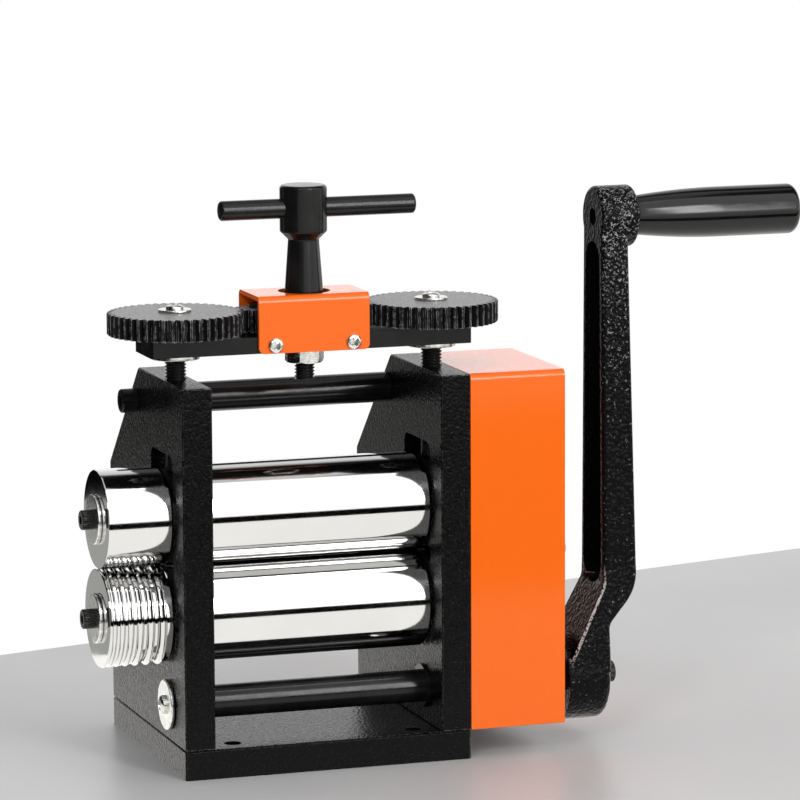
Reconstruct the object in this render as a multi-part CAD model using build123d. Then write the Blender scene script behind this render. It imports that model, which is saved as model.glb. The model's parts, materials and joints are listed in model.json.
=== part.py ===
from build123d import *
import math
import os

# Hand cranked rolling mill for sheet and wire, all sizes in millimetres.
# +X runs along the rollers towards the crank, +Y to the rear, +Z up.
# The origin is the centre of the base plate's underside.

# ---------------------------------------------------------------- driving sizes

# Rollers
roller_diameter = 45.0
roller_nip = 0.2                 # gap between the closed rollers
opening_travel = 7.0             # how far the upper roller can be raised
roller_end_gap = 0.6             # from a roller's end to the side frame
roller_chamfer = 0.8
roller_shaft_diameter = 20.0
roller_stub_diameter = 14.0      # stub that carries a side roller or a gear
side_roller_length = 29.8
side_roller_gap = 1.0            # from the side frame to the side roller
side_washer_diameter = 22.6
side_washer_thickness = 2.0
cap_screw_diameter = 5.0
cap_head_diameter = 9.0
cap_head_height = 5.2
cap_socket_across = 4.0

# Wire grooves of the lower side roller, from its outer end inwards
groove_widths = [2.2, 2.6, 3.0, 3.5, 4.0, 4.5]
groove_land = 1.1
groove_end_land = 0.3

# Side frames and base plate
plate_thickness = 14.0
frame_height = 177.3
frame_top_depth = 73.0
frame_knee_height = 126.0
base_depth = 125.0
base_thickness = 13.5
base_edge_chamfer = 0.8
plate_edge_chamfer = 0.5
base_hole_diameter = 8.0
base_hole_spacing_x = 85.4
base_hole_spacing_y = 104.2
window_width = 37.0
window_head_gap = 3.0            # above the upper blocks when fully open
window_corner_radius = 5.0
roller_setback = 34.5            # roller axes behind the front faces
lower_axis_height = 70.1
frame_screw_diameter = 6.0
frame_screw_length = 24.0
frame_screw_inset = 10.0         # from the base's front and rear edges
frame_screw_sink = 0.5           # head below the base's underside

# Bearing blocks
block_height = 38.0
block_slide_gap = 0.25
bush_wall = 3.0
spring_diameter = 7.4
spring_wire = 1.0
spring_offset = 12.0             # in front of and behind the roller axis
spring_pocket_depth = 5.0
spring_pocket_clearance = 0.4

# Tie bar behind the rollers
tie_bar_diameter = 14.0
tie_bar_drop = 15.9              # below the side frames' tops
tie_head_gap = 0.8               # from the screw's head to the cover's sloping sheet
tie_head_diameter = 11.0
tie_head_height = 7.2
tie_screw_diameter = 6.0
tie_socket_across = 5.0
tie_screw_depth = 12.0           # thread length inside the tie bar

# Roller gears with long teeth, which stay in mesh while the rollers open
roller_gear_teeth = 12
roller_gear_width = 14.0
roller_gear_backlash = 0.9
gear_side_gap = 1.6              # from the side frame to the first gear

# Crank drive
drive_module = 2.0
drive_pinion_teeth = 12
driven_gear_teeth = 29
driven_gear_width = 11.0
driven_gear_boss_wall = 6.0       # round the roller's stub
drive_pinion_width = 13.0
drive_backlash = 0.3
gear_spacer = 2.0
drive_shaft_diameter = 15.0
drive_shaft_forward = 7.5        # drive shaft in front of the roller axes
drive_bush_wall = 2.0
drive_flange_diameter = 20.0
drive_flange_thickness = 1.5
shaft_washer_diameter = 23.0
shaft_washer_thickness = 2.0
pan_head_diameter = 8.6
pan_head_height = 2.6
pan_screw_diameter = 5.0
pan_screw_length = 12.0
pan_screw_tapping = 14.0

# Gear cover, a folded sheet box that is open below
cover_width = 45.4
cover_sheet = 1.5
cover_bend_radius = 3.0
cover_hole_clearance = 1.0
cover_post_diameter = 8.0
cover_screw_diameter = 4.0
cover_screw_inset = 6.6          # from the front and rear faces
cover_screw_length = 11.0
cover_post_spigot = 7.0          # into the right side frame
cover_post_tapping = 14.0        # hole for the screw, from the cover's face
cover_screw_height = 94.2
cover_head_diameter = 7.6
cover_head_height = 2.2

# Crank casting
crank_throw = 213.2
crank_cover_gap = 5.0
crank_hub_diameter = 41.4
crank_hub_width = 21.0
crank_boss_diameter = 28.4
crank_boss_width = 18.4
crank_jog = 18.4                 # the arm's inner face outside the hub's
crank_jog_start = 7.0            # height above the hub's centre
crank_jog_end = 44.0
crank_jog_radius = 7.0
crank_outer_jog_start = 25.5     # the same heights on the arm's outer side
crank_outer_jog_end = 41.7
crank_shoulder_radius = 22.0
crank_section_margin = 2.0       # side section beyond the hub and boss
crank_waist_drop = 8.0           # widest place above the jog's end
crank_arm_thickness_top = 12.8
crank_arm_thickness_low = 16.8
crank_arm_width_top = 25.2
crank_arm_width_low = 30.0
crank_rib = 3.5
crank_pocket_depth = 8.0
crank_pocket_top = 202.0         # above the hub's centre
crank_pocket_low = 43.0
crank_edge_radius = 2.0
crank_waist_radius = 60.0
crank_root_height = 4.0          # foot of the arm above the hub's centre
crank_root_share = 0.96          # foot's width as a share of the hub's
crank_washer_diameter = 17.0
crank_washer_thickness = 1.6
crank_screw_diameter = 6.0
crank_screw_length = 16.0
crank_screw_tapping = 18.0
crank_screw_head_diameter = 10.0
crank_screw_head_height = 6.0
crank_screw_socket_across = 5.0

# Turning grip
grip_gap = 0.6
grip_length = 80.6
grip_inner_diameter = 17.6
grip_middle_diameter = 21.7        # halfway along the swell
grip_outer_diameter = 23.2
grip_swell_length = 42.0
grip_end_radius = 3.5
grip_bolt_diameter = 8.0
grip_bolt_recess = 3.0
grip_bolt_socket_depth = 5.0
grip_bolt_chamfer = 0.8
grip_bolt_reach = 62.0

# Pressure screws, carrier bar and lift gears
lift_module = 1.25
lift_gear_teeth = 47
idler_teeth = 16
spindle_pinion_teeth = 18
lift_gear_width = 10.0
lift_backlash = 0.16
gear_chamfer = 0.6
pressure_screw_diameter = 9.8
pressure_journal_diameter = 8.0
pressure_tip_gap = 0.3           # from the screw's tip to the bearing block
carrier_clearance = 11.2         # from the side frames to the carrier bar
carrier_thickness = 7.5
carrier_depth = 28.0
carrier_overhang = 14.9          # bar beyond the pressure screws
carrier_corner_radius = 1.5
bar_washer_diameter = 22.0
bar_washer_thickness = 2.0
gear_lift = 1.5                  # lift gears above the carrier bar
gear_boss_diameter = 16.0
top_washer_diameter = 15.0
top_washer_thickness = 1.2
top_screw_head_diameter = 8.0
top_screw_head_height = 2.2
top_screw_diameter = 4.0
top_screw_length = 9.0
top_screw_tapping = 10.0
idler_pin_diameter = 6.0
idler_head_diameter = 9.0
idler_head_height = 1.8

# Sheet bracket over the pinion
bracket_width = 52.0
bracket_height = 25.8
bracket_sheet = 2.0
bracket_bend_radius = 3.0
bracket_corner_radius = 2.5
bracket_hole_diameter = 23.6
bracket_screw_spacing = 36.8
bracket_head_diameter = 6.8
bracket_head_height = 2.2
bracket_screw_diameter = 3.5
bracket_screw_length = 8.0
bracket_screw_tapping = 9.0

# T-handled spindle
spindle_head_diameter = 21.4
spindle_head_height = 21.0
spindle_neck_low_diameter = 17.4
spindle_neck_top_diameter = 14.0
spindle_neck_length = 23.5       # above the bracket
spindle_shoulder = 3.6           # cone between the neck and the head
spindle_journal_diameter = 10.0
spindle_thread_diameter = 9.2
spindle_tip_drop = 14.5          # below the carrier bar
spindle_nut_across = 16.0
spindle_nut_height = 6.4
spindle_nut_chamfer = 1.2
cross_bar_diameter = 9.0
cross_bar_length = 92.0
cross_bar_shift = 6.6
cross_bar_chamfer = 0.8

# Clearances
running_fit = 0.05               # radial, shafts in bores
assembly_fit = 0.02              # radial, parts keyed or screwed together
thread_fit = 0.1                 # radial, screw in its threaded hole
running_gap = 0.2                # between flat faces that turn past each other

# ---------------------------------------------------------------- places worked out

front_y = -base_depth / 2
rear_y = base_depth / 2
roller_y = front_y + roller_setback
screw_x = lift_module * (lift_gear_teeth / 2 + idler_teeth + spindle_pinion_teeth / 2)
inner_x = screw_x - plate_thickness / 2
outer_x = screw_x + plate_thickness / 2
roller_radius = roller_diameter / 2
upper_axis_height = lower_axis_height + roller_diameter + roller_nip
open_block_top = upper_axis_height + block_height / 2 + opening_travel
window_top_height = open_block_top + window_head_gap
frame_slope = math.atan2(frame_height - frame_knee_height, base_depth - frame_top_depth)
tie_bar_height = frame_height - tie_bar_drop
tie_edge_distance = tie_head_diameter / 2 + tie_head_gap + cover_sheet
tie_bar_y = front_y + frame_top_depth + (
    tie_bar_drop * math.cos(frame_slope) - tie_edge_distance) / math.sin(frame_slope)
window_bottom_height = lower_axis_height - block_height / 2
block_width = window_width - 2 * block_slide_gap
bush_diameter = roller_shaft_diameter + 2 * bush_wall
roller_end_x = inner_x - roller_end_gap
side_roller_x = -(outer_x + side_roller_gap)
side_end_x = side_roller_x - side_roller_length

roller_gear_module = (roller_diameter + roller_nip) / roller_gear_teeth
roller_gear_x = outer_x + gear_side_gap
driven_gear_x = roller_gear_x + roller_gear_width + gear_spacer
drive_distance = drive_module * (drive_pinion_teeth + driven_gear_teeth) / 2
drive_y = roller_y - drive_shaft_forward
drive_drop = math.sqrt(drive_distance**2 - drive_shaft_forward**2)
drive_z = lower_axis_height - drive_drop
drive_line_angle = math.degrees(math.atan2(drive_drop, drive_shaft_forward))
drive_pinion_x = driven_gear_x - (drive_pinion_width - driven_gear_width) / 2
cover_x = outer_x + cover_width
hub_x = cover_x + crank_cover_gap
hub_end_x = hub_x + crank_hub_width
arm_x = hub_x + crank_jog
boss_end_x = arm_x + crank_boss_width
boss_z = drive_z + crank_throw
grip_x = boss_end_x + grip_gap

carrier_height = frame_height + carrier_clearance
carrier_top = carrier_height + carrier_thickness
spindle_tip_height = carrier_height - spindle_tip_drop
gear_z = carrier_top + gear_lift
gear_top = gear_z + lift_gear_width
bracket_top = carrier_height + bracket_height
bracket_front_y = roller_y - carrier_depth / 2 - bracket_sheet
bracket_rear_y = roller_y + carrier_depth / 2 + bracket_sheet
idler_x = lift_module * (spindle_pinion_teeth + idler_teeth) / 2
idler_pin_top = gear_top + running_gap
neck_top = bracket_top + spindle_neck_length
head_bottom = neck_top + spindle_shoulder
head_top = head_bottom + spindle_head_height
cross_bar_z = (head_bottom + head_top) / 2

BOTTOM = (Align.CENTER, Align.CENTER, Align.MIN)

# ---------------------------------------------------------------- shared shapes


def rod_x(diameter, start, end, y, z):
    """A round bar along X between two places."""
    bar = Cylinder(diameter / 2, end - start, align=BOTTOM)
    return Pos(start, y, z) * Rot(0, 90, 0) * bar


def rod_y(diameter, start, end, x, z):
    """A round bar along Y between two places."""
    bar = Cylinder(diameter / 2, end - start, align=BOTTOM)
    return Pos(x, start, z) * Rot(-90, 0, 0) * bar


def rod_z(diameter, start, end, x=0.0, y=0.0):
    """A round bar along Z between two heights."""
    bar = Cylinder(diameter / 2, end - start, align=BOTTOM)
    return Pos(x, y, start) * bar


def ring_z(outer, inner, start, end, x=0.0, y=0.0):
    """A washer or bush on a vertical axis."""
    return rod_z(outer, start, end, x, y) - rod_z(inner, start - 1, end + 1, x, y)


def ring_x(outer, inner, start, end, y, z):
    """A washer or bush on an axis along X."""
    return rod_x(outer, start, end, y, z) - rod_x(inner, start - 1, end + 1, y, z)


def turned_x(outline, y, z):
    """A turned piece: (place along X, radius) points, closed along the axis."""
    points = [(outline[0][0], 0.0)] + outline + [(outline[-1][0], 0.0)]
    section = make_face(Polyline(*points, close=True))
    return Pos(0, y, z) * revolve(section, Axis.X)


def turned_z(outline, x, y):
    """A turned piece: (radius, height) points, closed along the axis."""
    points = [(0.0, outline[0][1])] + outline + [(0.0, outline[-1][1])]
    section = make_face(Plane.XZ * Polyline(*points, close=True))
    return Pos(x, y, 0) * revolve(section, Axis.Z)


def side_outline(inset=0.0):
    """Side frame outline: upright front, short top, sloping rear, upright rear."""
    knee_cut = inset * math.tan((math.pi / 2 - frame_slope) / 2)
    top_cut = inset * math.tan(frame_slope / 2)
    return [
        (front_y + inset, base_thickness),
        (rear_y - inset, base_thickness),
        (rear_y - inset, frame_knee_height - knee_cut),
        (front_y + frame_top_depth - top_cut, frame_height - inset),
        (front_y + inset, frame_height - inset),
    ]


def gear_outline(teeth, module, phase, backlash, addendum=1.0, dedendum=1.25,
                 undercut=0.0, steps=1):
    """Points of an involute gear with one tooth centred on the phase angle."""
    pitch_radius = teeth * module / 2
    pressure = math.radians(20)
    base_radius = pitch_radius * math.cos(pressure)
    tip_radius = pitch_radius + addendum * module
    root_radius = pitch_radius - dedendum * module

    def involute(angle):
        return math.tan(angle) - angle

    def half_angle(radius):
        reach = max(radius, base_radius)
        here = math.acos(base_radius / reach)
        thinning = backlash / (4 * pitch_radius)
        angle = math.pi / (2 * teeth) - thinning + involute(pressure) - involute(here)
        return angle - undercut * max(0.0, base_radius - radius) / pitch_radius

    start_radius = max(base_radius, root_radius)
    rise = (tip_radius - start_radius) / steps
    radii = [start_radius + rise * step for step in range(steps + 1)]
    if base_radius > root_radius:
        radii = [root_radius] + radii
    points = []
    for tooth in range(teeth):
        centre = math.radians(phase) + 2 * math.pi * tooth / teeth
        for radius in radii:
            angle = centre - half_angle(radius)
            points.append((radius * math.cos(angle), radius * math.sin(angle)))
        for radius in reversed(radii):
            angle = centre + half_angle(radius)
            points.append((radius * math.cos(angle), radius * math.sin(angle)))
    return points


def gear_along_x(points, start, width, y, z):
    """A gear blank with teeth, on an axis along X."""
    section = make_face(Polyline(*points, close=True))
    return extrude(Plane.YZ.offset(start) * Pos(y, z) * section, amount=width)


def gear_along_z(points, start, width, x, y):
    """A gear blank with teeth, on a vertical axis."""
    section = make_face(Polyline(*points, close=True))
    return extrude(Pos(x, y, start) * section, amount=width)


def chamfered_disc_z(diameter, chamfer_size, start, end, x, y):
    """A disc with both rims chamfered, for trimming tooth ends."""
    radius = diameter / 2
    outline = [
        (radius - chamfer_size, start),
        (radius, start + chamfer_size),
        (radius, end - chamfer_size),
        (radius - chamfer_size, end),
    ]
    return turned_z(outline, x, y)


def hex_prism_x(across, start, end, y, z):
    """A hexagonal bar along X, measured across its flats."""
    section = RegularPolygon(across / 2, 6, major_radius=False)
    return extrude(Plane.YZ.offset(start) * Pos(y, z) * section, amount=end - start)


def socket_screw_x(diameter, head_diameter, head_height, socket, face, tip, y, z):
    """A socket head screw along X: its head stands on the face, away from the tip."""
    outward = 1 if face > tip else -1
    crown = face + outward * head_height
    head = rod_x(head_diameter, min(face, crown), max(face, crown), y, z)
    floor = crown - outward * head_height * 0.55
    recess = hex_prism_x(socket, min(floor, crown), max(floor, crown), y, z)
    shank = rod_x(diameter, min(tip, face), max(tip, face), y, z)
    return head - recess + shank


def pan_screw(diameter, head_diameter, head_height, length):
    """A pan head screw on +Z with its bearing face at zero."""
    radius = head_diameter / 2
    outline = [
        (diameter / 2, -length),
        (diameter / 2, 0.0),
        (radius, 0.0),
        (radius, head_height * 0.45),
        (radius * 0.82, head_height * 0.85),
        (radius * 0.5, head_height),
    ]
    return turned_z(outline, 0, 0)


# ---------------------------------------------------------------- base and frames


def base_plate():
    plate = Pos(0, 0, base_thickness / 2) * Box(2 * outer_x, base_depth, base_thickness)
    upper_face = plate.faces().sort_by(Axis.Z)[-1]
    corners = plate.edges().filter_by(Axis.Z)
    plate = chamfer(corners + upper_face.edges(), base_edge_chamfer)
    for x in (-base_hole_spacing_x / 2, base_hole_spacing_x / 2):
        for y in (-base_hole_spacing_y / 2, base_hole_spacing_y / 2):
            plate -= rod_z(base_hole_diameter, -1, base_thickness + 1, x, y)
    for x in (-screw_x, screw_x):
        for y in (front_y + frame_screw_inset, rear_y - frame_screw_inset):
            plate -= frame_screw(x, y, assembly_fit)
    return plate


def frame_screw(x, y, allowance=0.0):
    """Countersunk screw from below, or with an allowance the hole for it."""
    head_radius = frame_screw_diameter + allowance
    shank_radius = frame_screw_diameter / 2 + allowance
    seat = frame_screw_sink + frame_screw_diameter / 2
    tip = frame_screw_sink + frame_screw_length + allowance
    outline = [
        (head_radius, frame_screw_sink),
        (shank_radius, seat),
        (shank_radius, tip),
    ]
    if allowance:
        outline = [(head_radius, -1.0)] + outline
    return turned_z(outline, x, y)


def frame_screws():
    places = [
        (x, y)
        for x in (-screw_x, screw_x)
        for y in (front_y + frame_screw_inset, rear_y - frame_screw_inset)
    ]
    return [frame_screw(x, y) for x, y in places]


def side_frame(side):
    """One upright: side is -1 at the free rollers, +1 at the gears."""
    start = -outer_x if side < 0 else inner_x
    section = make_face(Polyline(*side_outline(), close=True))
    frame = extrude(Plane.YZ.offset(start) * section, amount=plate_thickness)
    frame = chamfer(frame.edges(), plate_edge_chamfer)
    window_height = window_top_height - window_bottom_height
    window_z = (window_top_height + window_bottom_height) / 2
    window = RectangleRounded(window_width, window_height, window_corner_radius)
    window = Plane.YZ.offset(start - 1) * Pos(roller_y, window_z) * window
    frame -= extrude(window, amount=plate_thickness + 2)
    screw_hole = pressure_screw_diameter + 2 * thread_fit
    frame -= rod_z(screw_hole, window_top_height - 5, frame_height + 1, side * screw_x, roller_y)
    bush = drive_shaft_diameter + 2 * drive_bush_wall + 2 * assembly_fit
    frame -= rod_x(bush, start - 1, start + plate_thickness + 1, drive_y, drive_z)
    tie_hole = tie_screw_diameter + 2 * assembly_fit
    frame -= rod_x(tie_hole, start - 1, start + plate_thickness + 1, tie_bar_y,
                   tie_bar_height)
    for y in (front_y + frame_screw_inset, rear_y - frame_screw_inset):
        frame -= frame_screw(side * screw_x, y, assembly_fit)
    if side > 0:
        post_hole = cover_screw_diameter + 2 * assembly_fit
        hole_end = outer_x - cover_post_spigot - 1
        for y in (front_y + cover_screw_inset, rear_y - cover_screw_inset):
            frame -= rod_x(post_hole, hole_end, outer_x + 1, y, cover_screw_height)
    return frame


def tie_bar():
    bar = rod_x(tie_bar_diameter, -inner_x, inner_x, tie_bar_y, tie_bar_height)
    hole = tie_screw_diameter + 2 * assembly_fit
    for side in (-1, 1):
        ends = sorted((side * (inner_x - tie_screw_depth - 2), side * (inner_x + 1)))
        bar -= rod_x(hole, ends[0], ends[1], tie_bar_y, tie_bar_height)
    return bar


def tie_bar_screws():
    return [
        socket_screw_x(tie_screw_diameter, tie_head_diameter, tie_head_height,
                       tie_socket_across, side * outer_x,
                       side * (inner_x - tie_screw_depth), tie_bar_y, tie_bar_height)
        for side in (-1, 1)
    ]


# ---------------------------------------------------------------- bearings


def block_pockets(side, face_z, direction):
    """Two spring pockets sunk into a block's face."""
    pocket = spring_diameter + 2 * spring_pocket_clearance
    floor = face_z + direction * spring_pocket_depth
    low, high = sorted((floor, face_z - direction))
    return [
        rod_z(pocket, low, high, side * screw_x, roller_y + shift)
        for shift in (-spring_offset, spring_offset)
    ]


def bearing_block(side, axis_z, pocket_direction):
    """A block for one roller end, bored for its bush."""
    block = Box(plate_thickness, block_width, block_height)
    long_edges = block.edges().filter_by(Axis.X)
    corners = [e for e in long_edges if e.center().Z * pocket_direction > 0]
    block = fillet(corners, window_corner_radius)
    block = Pos(side * screw_x, roller_y, axis_z) * block
    bore = bush_diameter + 2 * assembly_fit
    start = side * screw_x - plate_thickness / 2
    block -= rod_x(bore, start - 1, start + plate_thickness + 1, roller_y, axis_z)
    pocket_face = axis_z - pocket_direction * block_height / 2
    for pocket in block_pockets(side, pocket_face, pocket_direction):
        block -= pocket
    return block


def roller_bushes(axis_z):
    bore = roller_shaft_diameter + 2 * running_fit
    return [
        ring_x(bush_diameter, bore, start, start + plate_thickness, roller_y, axis_z)
        for start in (-outer_x, inner_x)
    ]


def shaft_bushes():
    """Flanged bushes of the drive shaft, with their flanges on the inner faces."""
    sleeve = drive_shaft_diameter + 2 * drive_bush_wall
    bore = drive_shaft_diameter + 2 * running_fit
    bushes = []
    for side in (-1, 1):
        ends = sorted((side * inner_x, side * outer_x))
        flange = sorted((side * inner_x, side * (inner_x - drive_flange_thickness)))
        body = rod_x(sleeve, ends[0], ends[1], drive_y, drive_z)
        body += rod_x(drive_flange_diameter, flange[0], flange[1], drive_y, drive_z)
        body -= rod_x(bore, min(ends + flange) - 1, max(ends + flange) + 1, drive_y, drive_z)
        bushes.append(body)
    return bushes


def return_springs():
    """Springs between the blocks, each as the sleeve that its coils fill."""
    low = lower_axis_height + block_height / 2 - spring_pocket_depth
    high = upper_axis_height - block_height / 2 + spring_pocket_depth
    inner = spring_diameter - 2 * spring_wire
    return [
        ring_z(spring_diameter, inner, low, high, x, roller_y + shift)
        for x in (-screw_x, screw_x)
        for shift in (-spring_offset, spring_offset)
    ]


# ---------------------------------------------------------------- rollers


def main_roller(axis_z, gear_end):
    """A working roller with its journals and stubs, turned from one bar."""
    journal = roller_shaft_diameter / 2
    stub = roller_stub_diameter / 2
    outline = [
        (side_end_x, stub),
        (side_roller_x, stub),
        (side_roller_x, journal),
        (-roller_end_x, journal),
        (-roller_end_x, roller_radius - roller_chamfer),
        (-roller_end_x + roller_chamfer, roller_radius),
        (roller_end_x - roller_chamfer, roller_radius),
        (roller_end_x, roller_radius - roller_chamfer),
        (roller_end_x, journal),
        (roller_gear_x, journal),
        (roller_gear_x, stub),
        (gear_end, stub),
    ]
    roller = turned_x(outline, roller_y, axis_z)
    hole = cap_screw_diameter + 2 * assembly_fit
    depth = 3 * cap_screw_diameter
    roller -= rod_x(hole, side_end_x - 1, side_end_x + depth, roller_y, axis_z)
    roller -= rod_x(hole, gear_end - depth, gear_end + 1, roller_y, axis_z)
    return roller


def side_roller(axis_z, grooved):
    """A roller sleeve outside the left frame: plain, or grooved for wire."""
    section = make_face(Polyline(
        (side_end_x, 0.0),
        (side_end_x, roller_radius - roller_chamfer),
        (side_end_x + roller_chamfer, roller_radius),
        (side_roller_x - roller_chamfer, roller_radius),
        (side_roller_x, roller_radius - roller_chamfer),
        (side_roller_x, 0.0),
        close=True,
    ))
    if grooved:
        place = side_end_x + roller_chamfer + groove_end_land
        for width in groove_widths:
            section -= Pos(place + width / 2, roller_radius) * Circle(width / 2)
            place += width + groove_land
    sleeve = Pos(0, roller_y, axis_z) * revolve(section, Axis.X)
    bore = roller_stub_diameter + 2 * assembly_fit
    return sleeve - rod_x(bore, side_end_x - 1, side_roller_x + 1, roller_y, axis_z)


def end_washer(face, axis_z, thickness, diameter):
    """A washer that holds a sleeve or gear on its stub."""
    ends = sorted((face, face + math.copysign(thickness, face)))
    bore = cap_screw_diameter + 2 * assembly_fit
    return ring_x(diameter, bore, ends[0], ends[1], roller_y, axis_z)


def end_screw(face, axis_z):
    """The socket screw of an end washer."""
    outward = math.copysign(1, face)
    tip = face - outward * (2.6 * cap_screw_diameter + side_washer_thickness)
    return socket_screw_x(cap_screw_diameter, cap_head_diameter, cap_head_height,
                          cap_socket_across, face, tip, roller_y, axis_z)


# ---------------------------------------------------------------- gears in the cover


def roller_gear(axis_z, phase):
    points = gear_outline(roller_gear_teeth, roller_gear_module, phase,
                          roller_gear_backlash, 1.0, 1.32, 0.35, 3)
    gear = gear_along_x(points, roller_gear_x, roller_gear_width, roller_y, axis_z)
    bore = roller_stub_diameter + 2 * assembly_fit
    end = roller_gear_x + roller_gear_width
    return gear - rod_x(bore, roller_gear_x - 1, end + 1, roller_y, axis_z)


def driven_gear():
    """The large gear of the lower roller, with a web thinner than its rim."""
    phase = drive_line_angle + 180 + 180 / driven_gear_teeth
    points = gear_outline(driven_gear_teeth, drive_module, phase, drive_backlash, 0.95)
    gear = gear_along_x(points, driven_gear_x, driven_gear_width, roller_y, lower_axis_height)
    rim = driven_gear_teeth * drive_module - 6 * drive_module
    boss = roller_stub_diameter + 2 * driven_gear_boss_wall
    end = driven_gear_x + driven_gear_width
    web = ring_x(rim, boss, end - 3, end + 1, roller_y, lower_axis_height)
    spacer = rod_x(boss, driven_gear_x - gear_spacer, driven_gear_x, roller_y,
                   lower_axis_height)
    bore = roller_stub_diameter + 2 * assembly_fit
    hole = rod_x(bore, driven_gear_x - gear_spacer - 1, end + 1, roller_y, lower_axis_height)
    return gear - web + spacer - hole


def drive_pinion():
    points = gear_outline(drive_pinion_teeth, drive_module, drive_line_angle,
                          drive_backlash, 0.95, 1.25, 0.25)
    gear = gear_along_x(points, drive_pinion_x, drive_pinion_width, drive_y, drive_z)
    bore = drive_shaft_diameter + 2 * assembly_fit
    end = drive_pinion_x + drive_pinion_width
    return gear - rod_x(bore, drive_pinion_x - 1, end + 1, drive_y, drive_z)


# ---------------------------------------------------------------- gear cover


def cover_section(inset, bend):
    """The cover's outline in YZ, with its three upper folds rounded."""
    section = make_face(Polyline(*side_outline(inset), close=True))
    folds = [v for v in section.vertices() if v.Y > base_thickness + 1]
    return fillet(folds, bend)


def gear_cover():
    """Front, top, slope, rear and outer wall of thin sheet, open below."""
    start = outer_x + assembly_fit
    shell = extrude(Plane.YZ.offset(start) * cover_section(0, cover_bend_radius),
                    amount=cover_x - start)
    hollow = extrude(Plane.YZ.offset(start - 1) *
                     cover_section(cover_sheet, cover_bend_radius - cover_sheet),
                     amount=cover_x - cover_sheet - start + 1)
    shell -= hollow
    hole = drive_shaft_diameter + 2 * cover_hole_clearance
    shell -= rod_x(hole, cover_x - cover_sheet - 1, cover_x + 1, drive_y, drive_z)
    for y in (front_y + cover_screw_inset, rear_y - cover_screw_inset):
        screw_hole = cover_screw_diameter + 2 * assembly_fit
        shell -= rod_x(screw_hole, cover_x - cover_sheet - 1, cover_x + 1, y,
                       cover_screw_height)
    return shell


def cover_posts():
    """Two posts from the right side frame to the cover's outer wall."""
    posts = []
    for y in (front_y + cover_screw_inset, rear_y - cover_screw_inset):
        post = rod_x(cover_post_diameter, outer_x, cover_x - cover_sheet, y,
                     cover_screw_height)
        post += rod_x(cover_screw_diameter, outer_x - cover_post_spigot, outer_x, y,
                      cover_screw_height)
        post -= rod_x(cover_screw_diameter + 2 * assembly_fit,
                      cover_x - cover_post_tapping, cover_x, y, cover_screw_height)
        posts.append(post)
    return posts


def cover_screws():
    screw = pan_screw(cover_screw_diameter, cover_head_diameter, cover_head_height,
                      cover_screw_length)
    return [
        Pos(cover_x, y, cover_screw_height) * Rot(0, 90, 0) * screw
        for y in (front_y + cover_screw_inset, rear_y - cover_screw_inset)
    ]


# ---------------------------------------------------------------- crank and grip


def drive_shaft():
    """The crank's shaft, from the left frame to the crank's hub."""
    radius = drive_shaft_diameter / 2
    outline = [
        (-outer_x, radius - 0.5),
        (-outer_x + 0.5, radius),
        (hub_end_x - 1.0, radius),
        (hub_end_x - 0.5, radius - 0.5),
    ]
    shaft = turned_x(outline, drive_y, drive_z)
    hole = pan_screw_diameter + 2 * assembly_fit
    shaft -= rod_x(hole, -outer_x - 1, -outer_x + pan_screw_tapping, drive_y, drive_z)
    hole = crank_screw_diameter + 2 * assembly_fit
    floor = hub_end_x - crank_screw_tapping
    return shaft - rod_x(hole, floor, hub_end_x + 1, drive_y, drive_z)


def shaft_end_washer():
    end = -outer_x - running_gap
    bore = pan_screw_diameter + 2 * assembly_fit
    return ring_x(shaft_washer_diameter, bore, end - shaft_washer_thickness, end,
                  drive_y, drive_z)


def shaft_end_screw():
    screw = pan_screw(pan_screw_diameter, pan_head_diameter, pan_head_height,
                      pan_screw_length)
    face = -outer_x - running_gap - shaft_washer_thickness
    return Pos(face, drive_y, drive_z) * Rot(0, -90, 0) * screw


def crank_arm_section():
    """The tapered arm seen along X, from inside the hub to inside the boss."""
    low = crank_arm_width_low / 2
    top = crank_arm_width_top / 2
    root = crank_hub_diameter / 2 * crank_root_share
    waist_z = crank_jog_end + crank_waist_drop
    arm = make_face(Polyline(
        (-root, crank_root_height), (-low, waist_z), (-top, crank_throw),
        (top, crank_throw), (low, waist_z), (root, crank_root_height),
        close=True,
    ))
    waist = [v for v in arm.vertices() if crank_jog_end < v.Y < crank_throw - 1]
    return fillet(waist, crank_waist_radius)


def crank_side_section():
    """The casting seen along Y: straight arm, jog towards the cover, hub."""
    top = crank_throw + crank_boss_diameter / 2 + crank_section_margin
    low = -crank_hub_diameter / 2 - crank_section_margin
    outline = Polyline(
        (hub_x, low), (hub_end_x, low),
        (hub_end_x, crank_outer_jog_start),
        (arm_x + crank_arm_thickness_low, crank_outer_jog_end),
        (arm_x + crank_arm_thickness_top, crank_throw),
        (arm_x + crank_arm_thickness_top, top),
        (arm_x, top), (arm_x, crank_jog_end), (hub_x, crank_jog_start),
        close=True,
    )
    section = make_face(outline)
    shoulder = section.vertices().sort_by(Axis.X)[-1]
    bends = [v for v in section.vertices()
             if low + 1 < v.Y < crank_throw - 1 and v.X < shoulder.X - 1]
    section = fillet(bends, crank_jog_radius)
    shoulder = section.vertices().sort_by(Axis.X)[-1]
    return fillet(shoulder, crank_shoulder_radius)


def crank_pocket():
    """The long recess in the arm's inner face, round at both ends."""
    low = crank_arm_width_low / 2 - crank_rib
    top = crank_arm_width_top / 2 - crank_rib
    outline = Polyline(
        (-low, crank_pocket_low + low), (-top, crank_pocket_top - top),
        (top, crank_pocket_top - top), (low, crank_pocket_low + low),
        close=True,
    )
    section = make_face(outline)
    section += Pos(0, crank_pocket_low + low) * Circle(low)
    section += Pos(0, crank_pocket_top - top) * Circle(top)
    placed = Plane.YZ.offset(arm_x - crank_jog) * Pos(drive_y, drive_z) * section
    return extrude(placed, amount=crank_jog + crank_pocket_depth)


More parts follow.
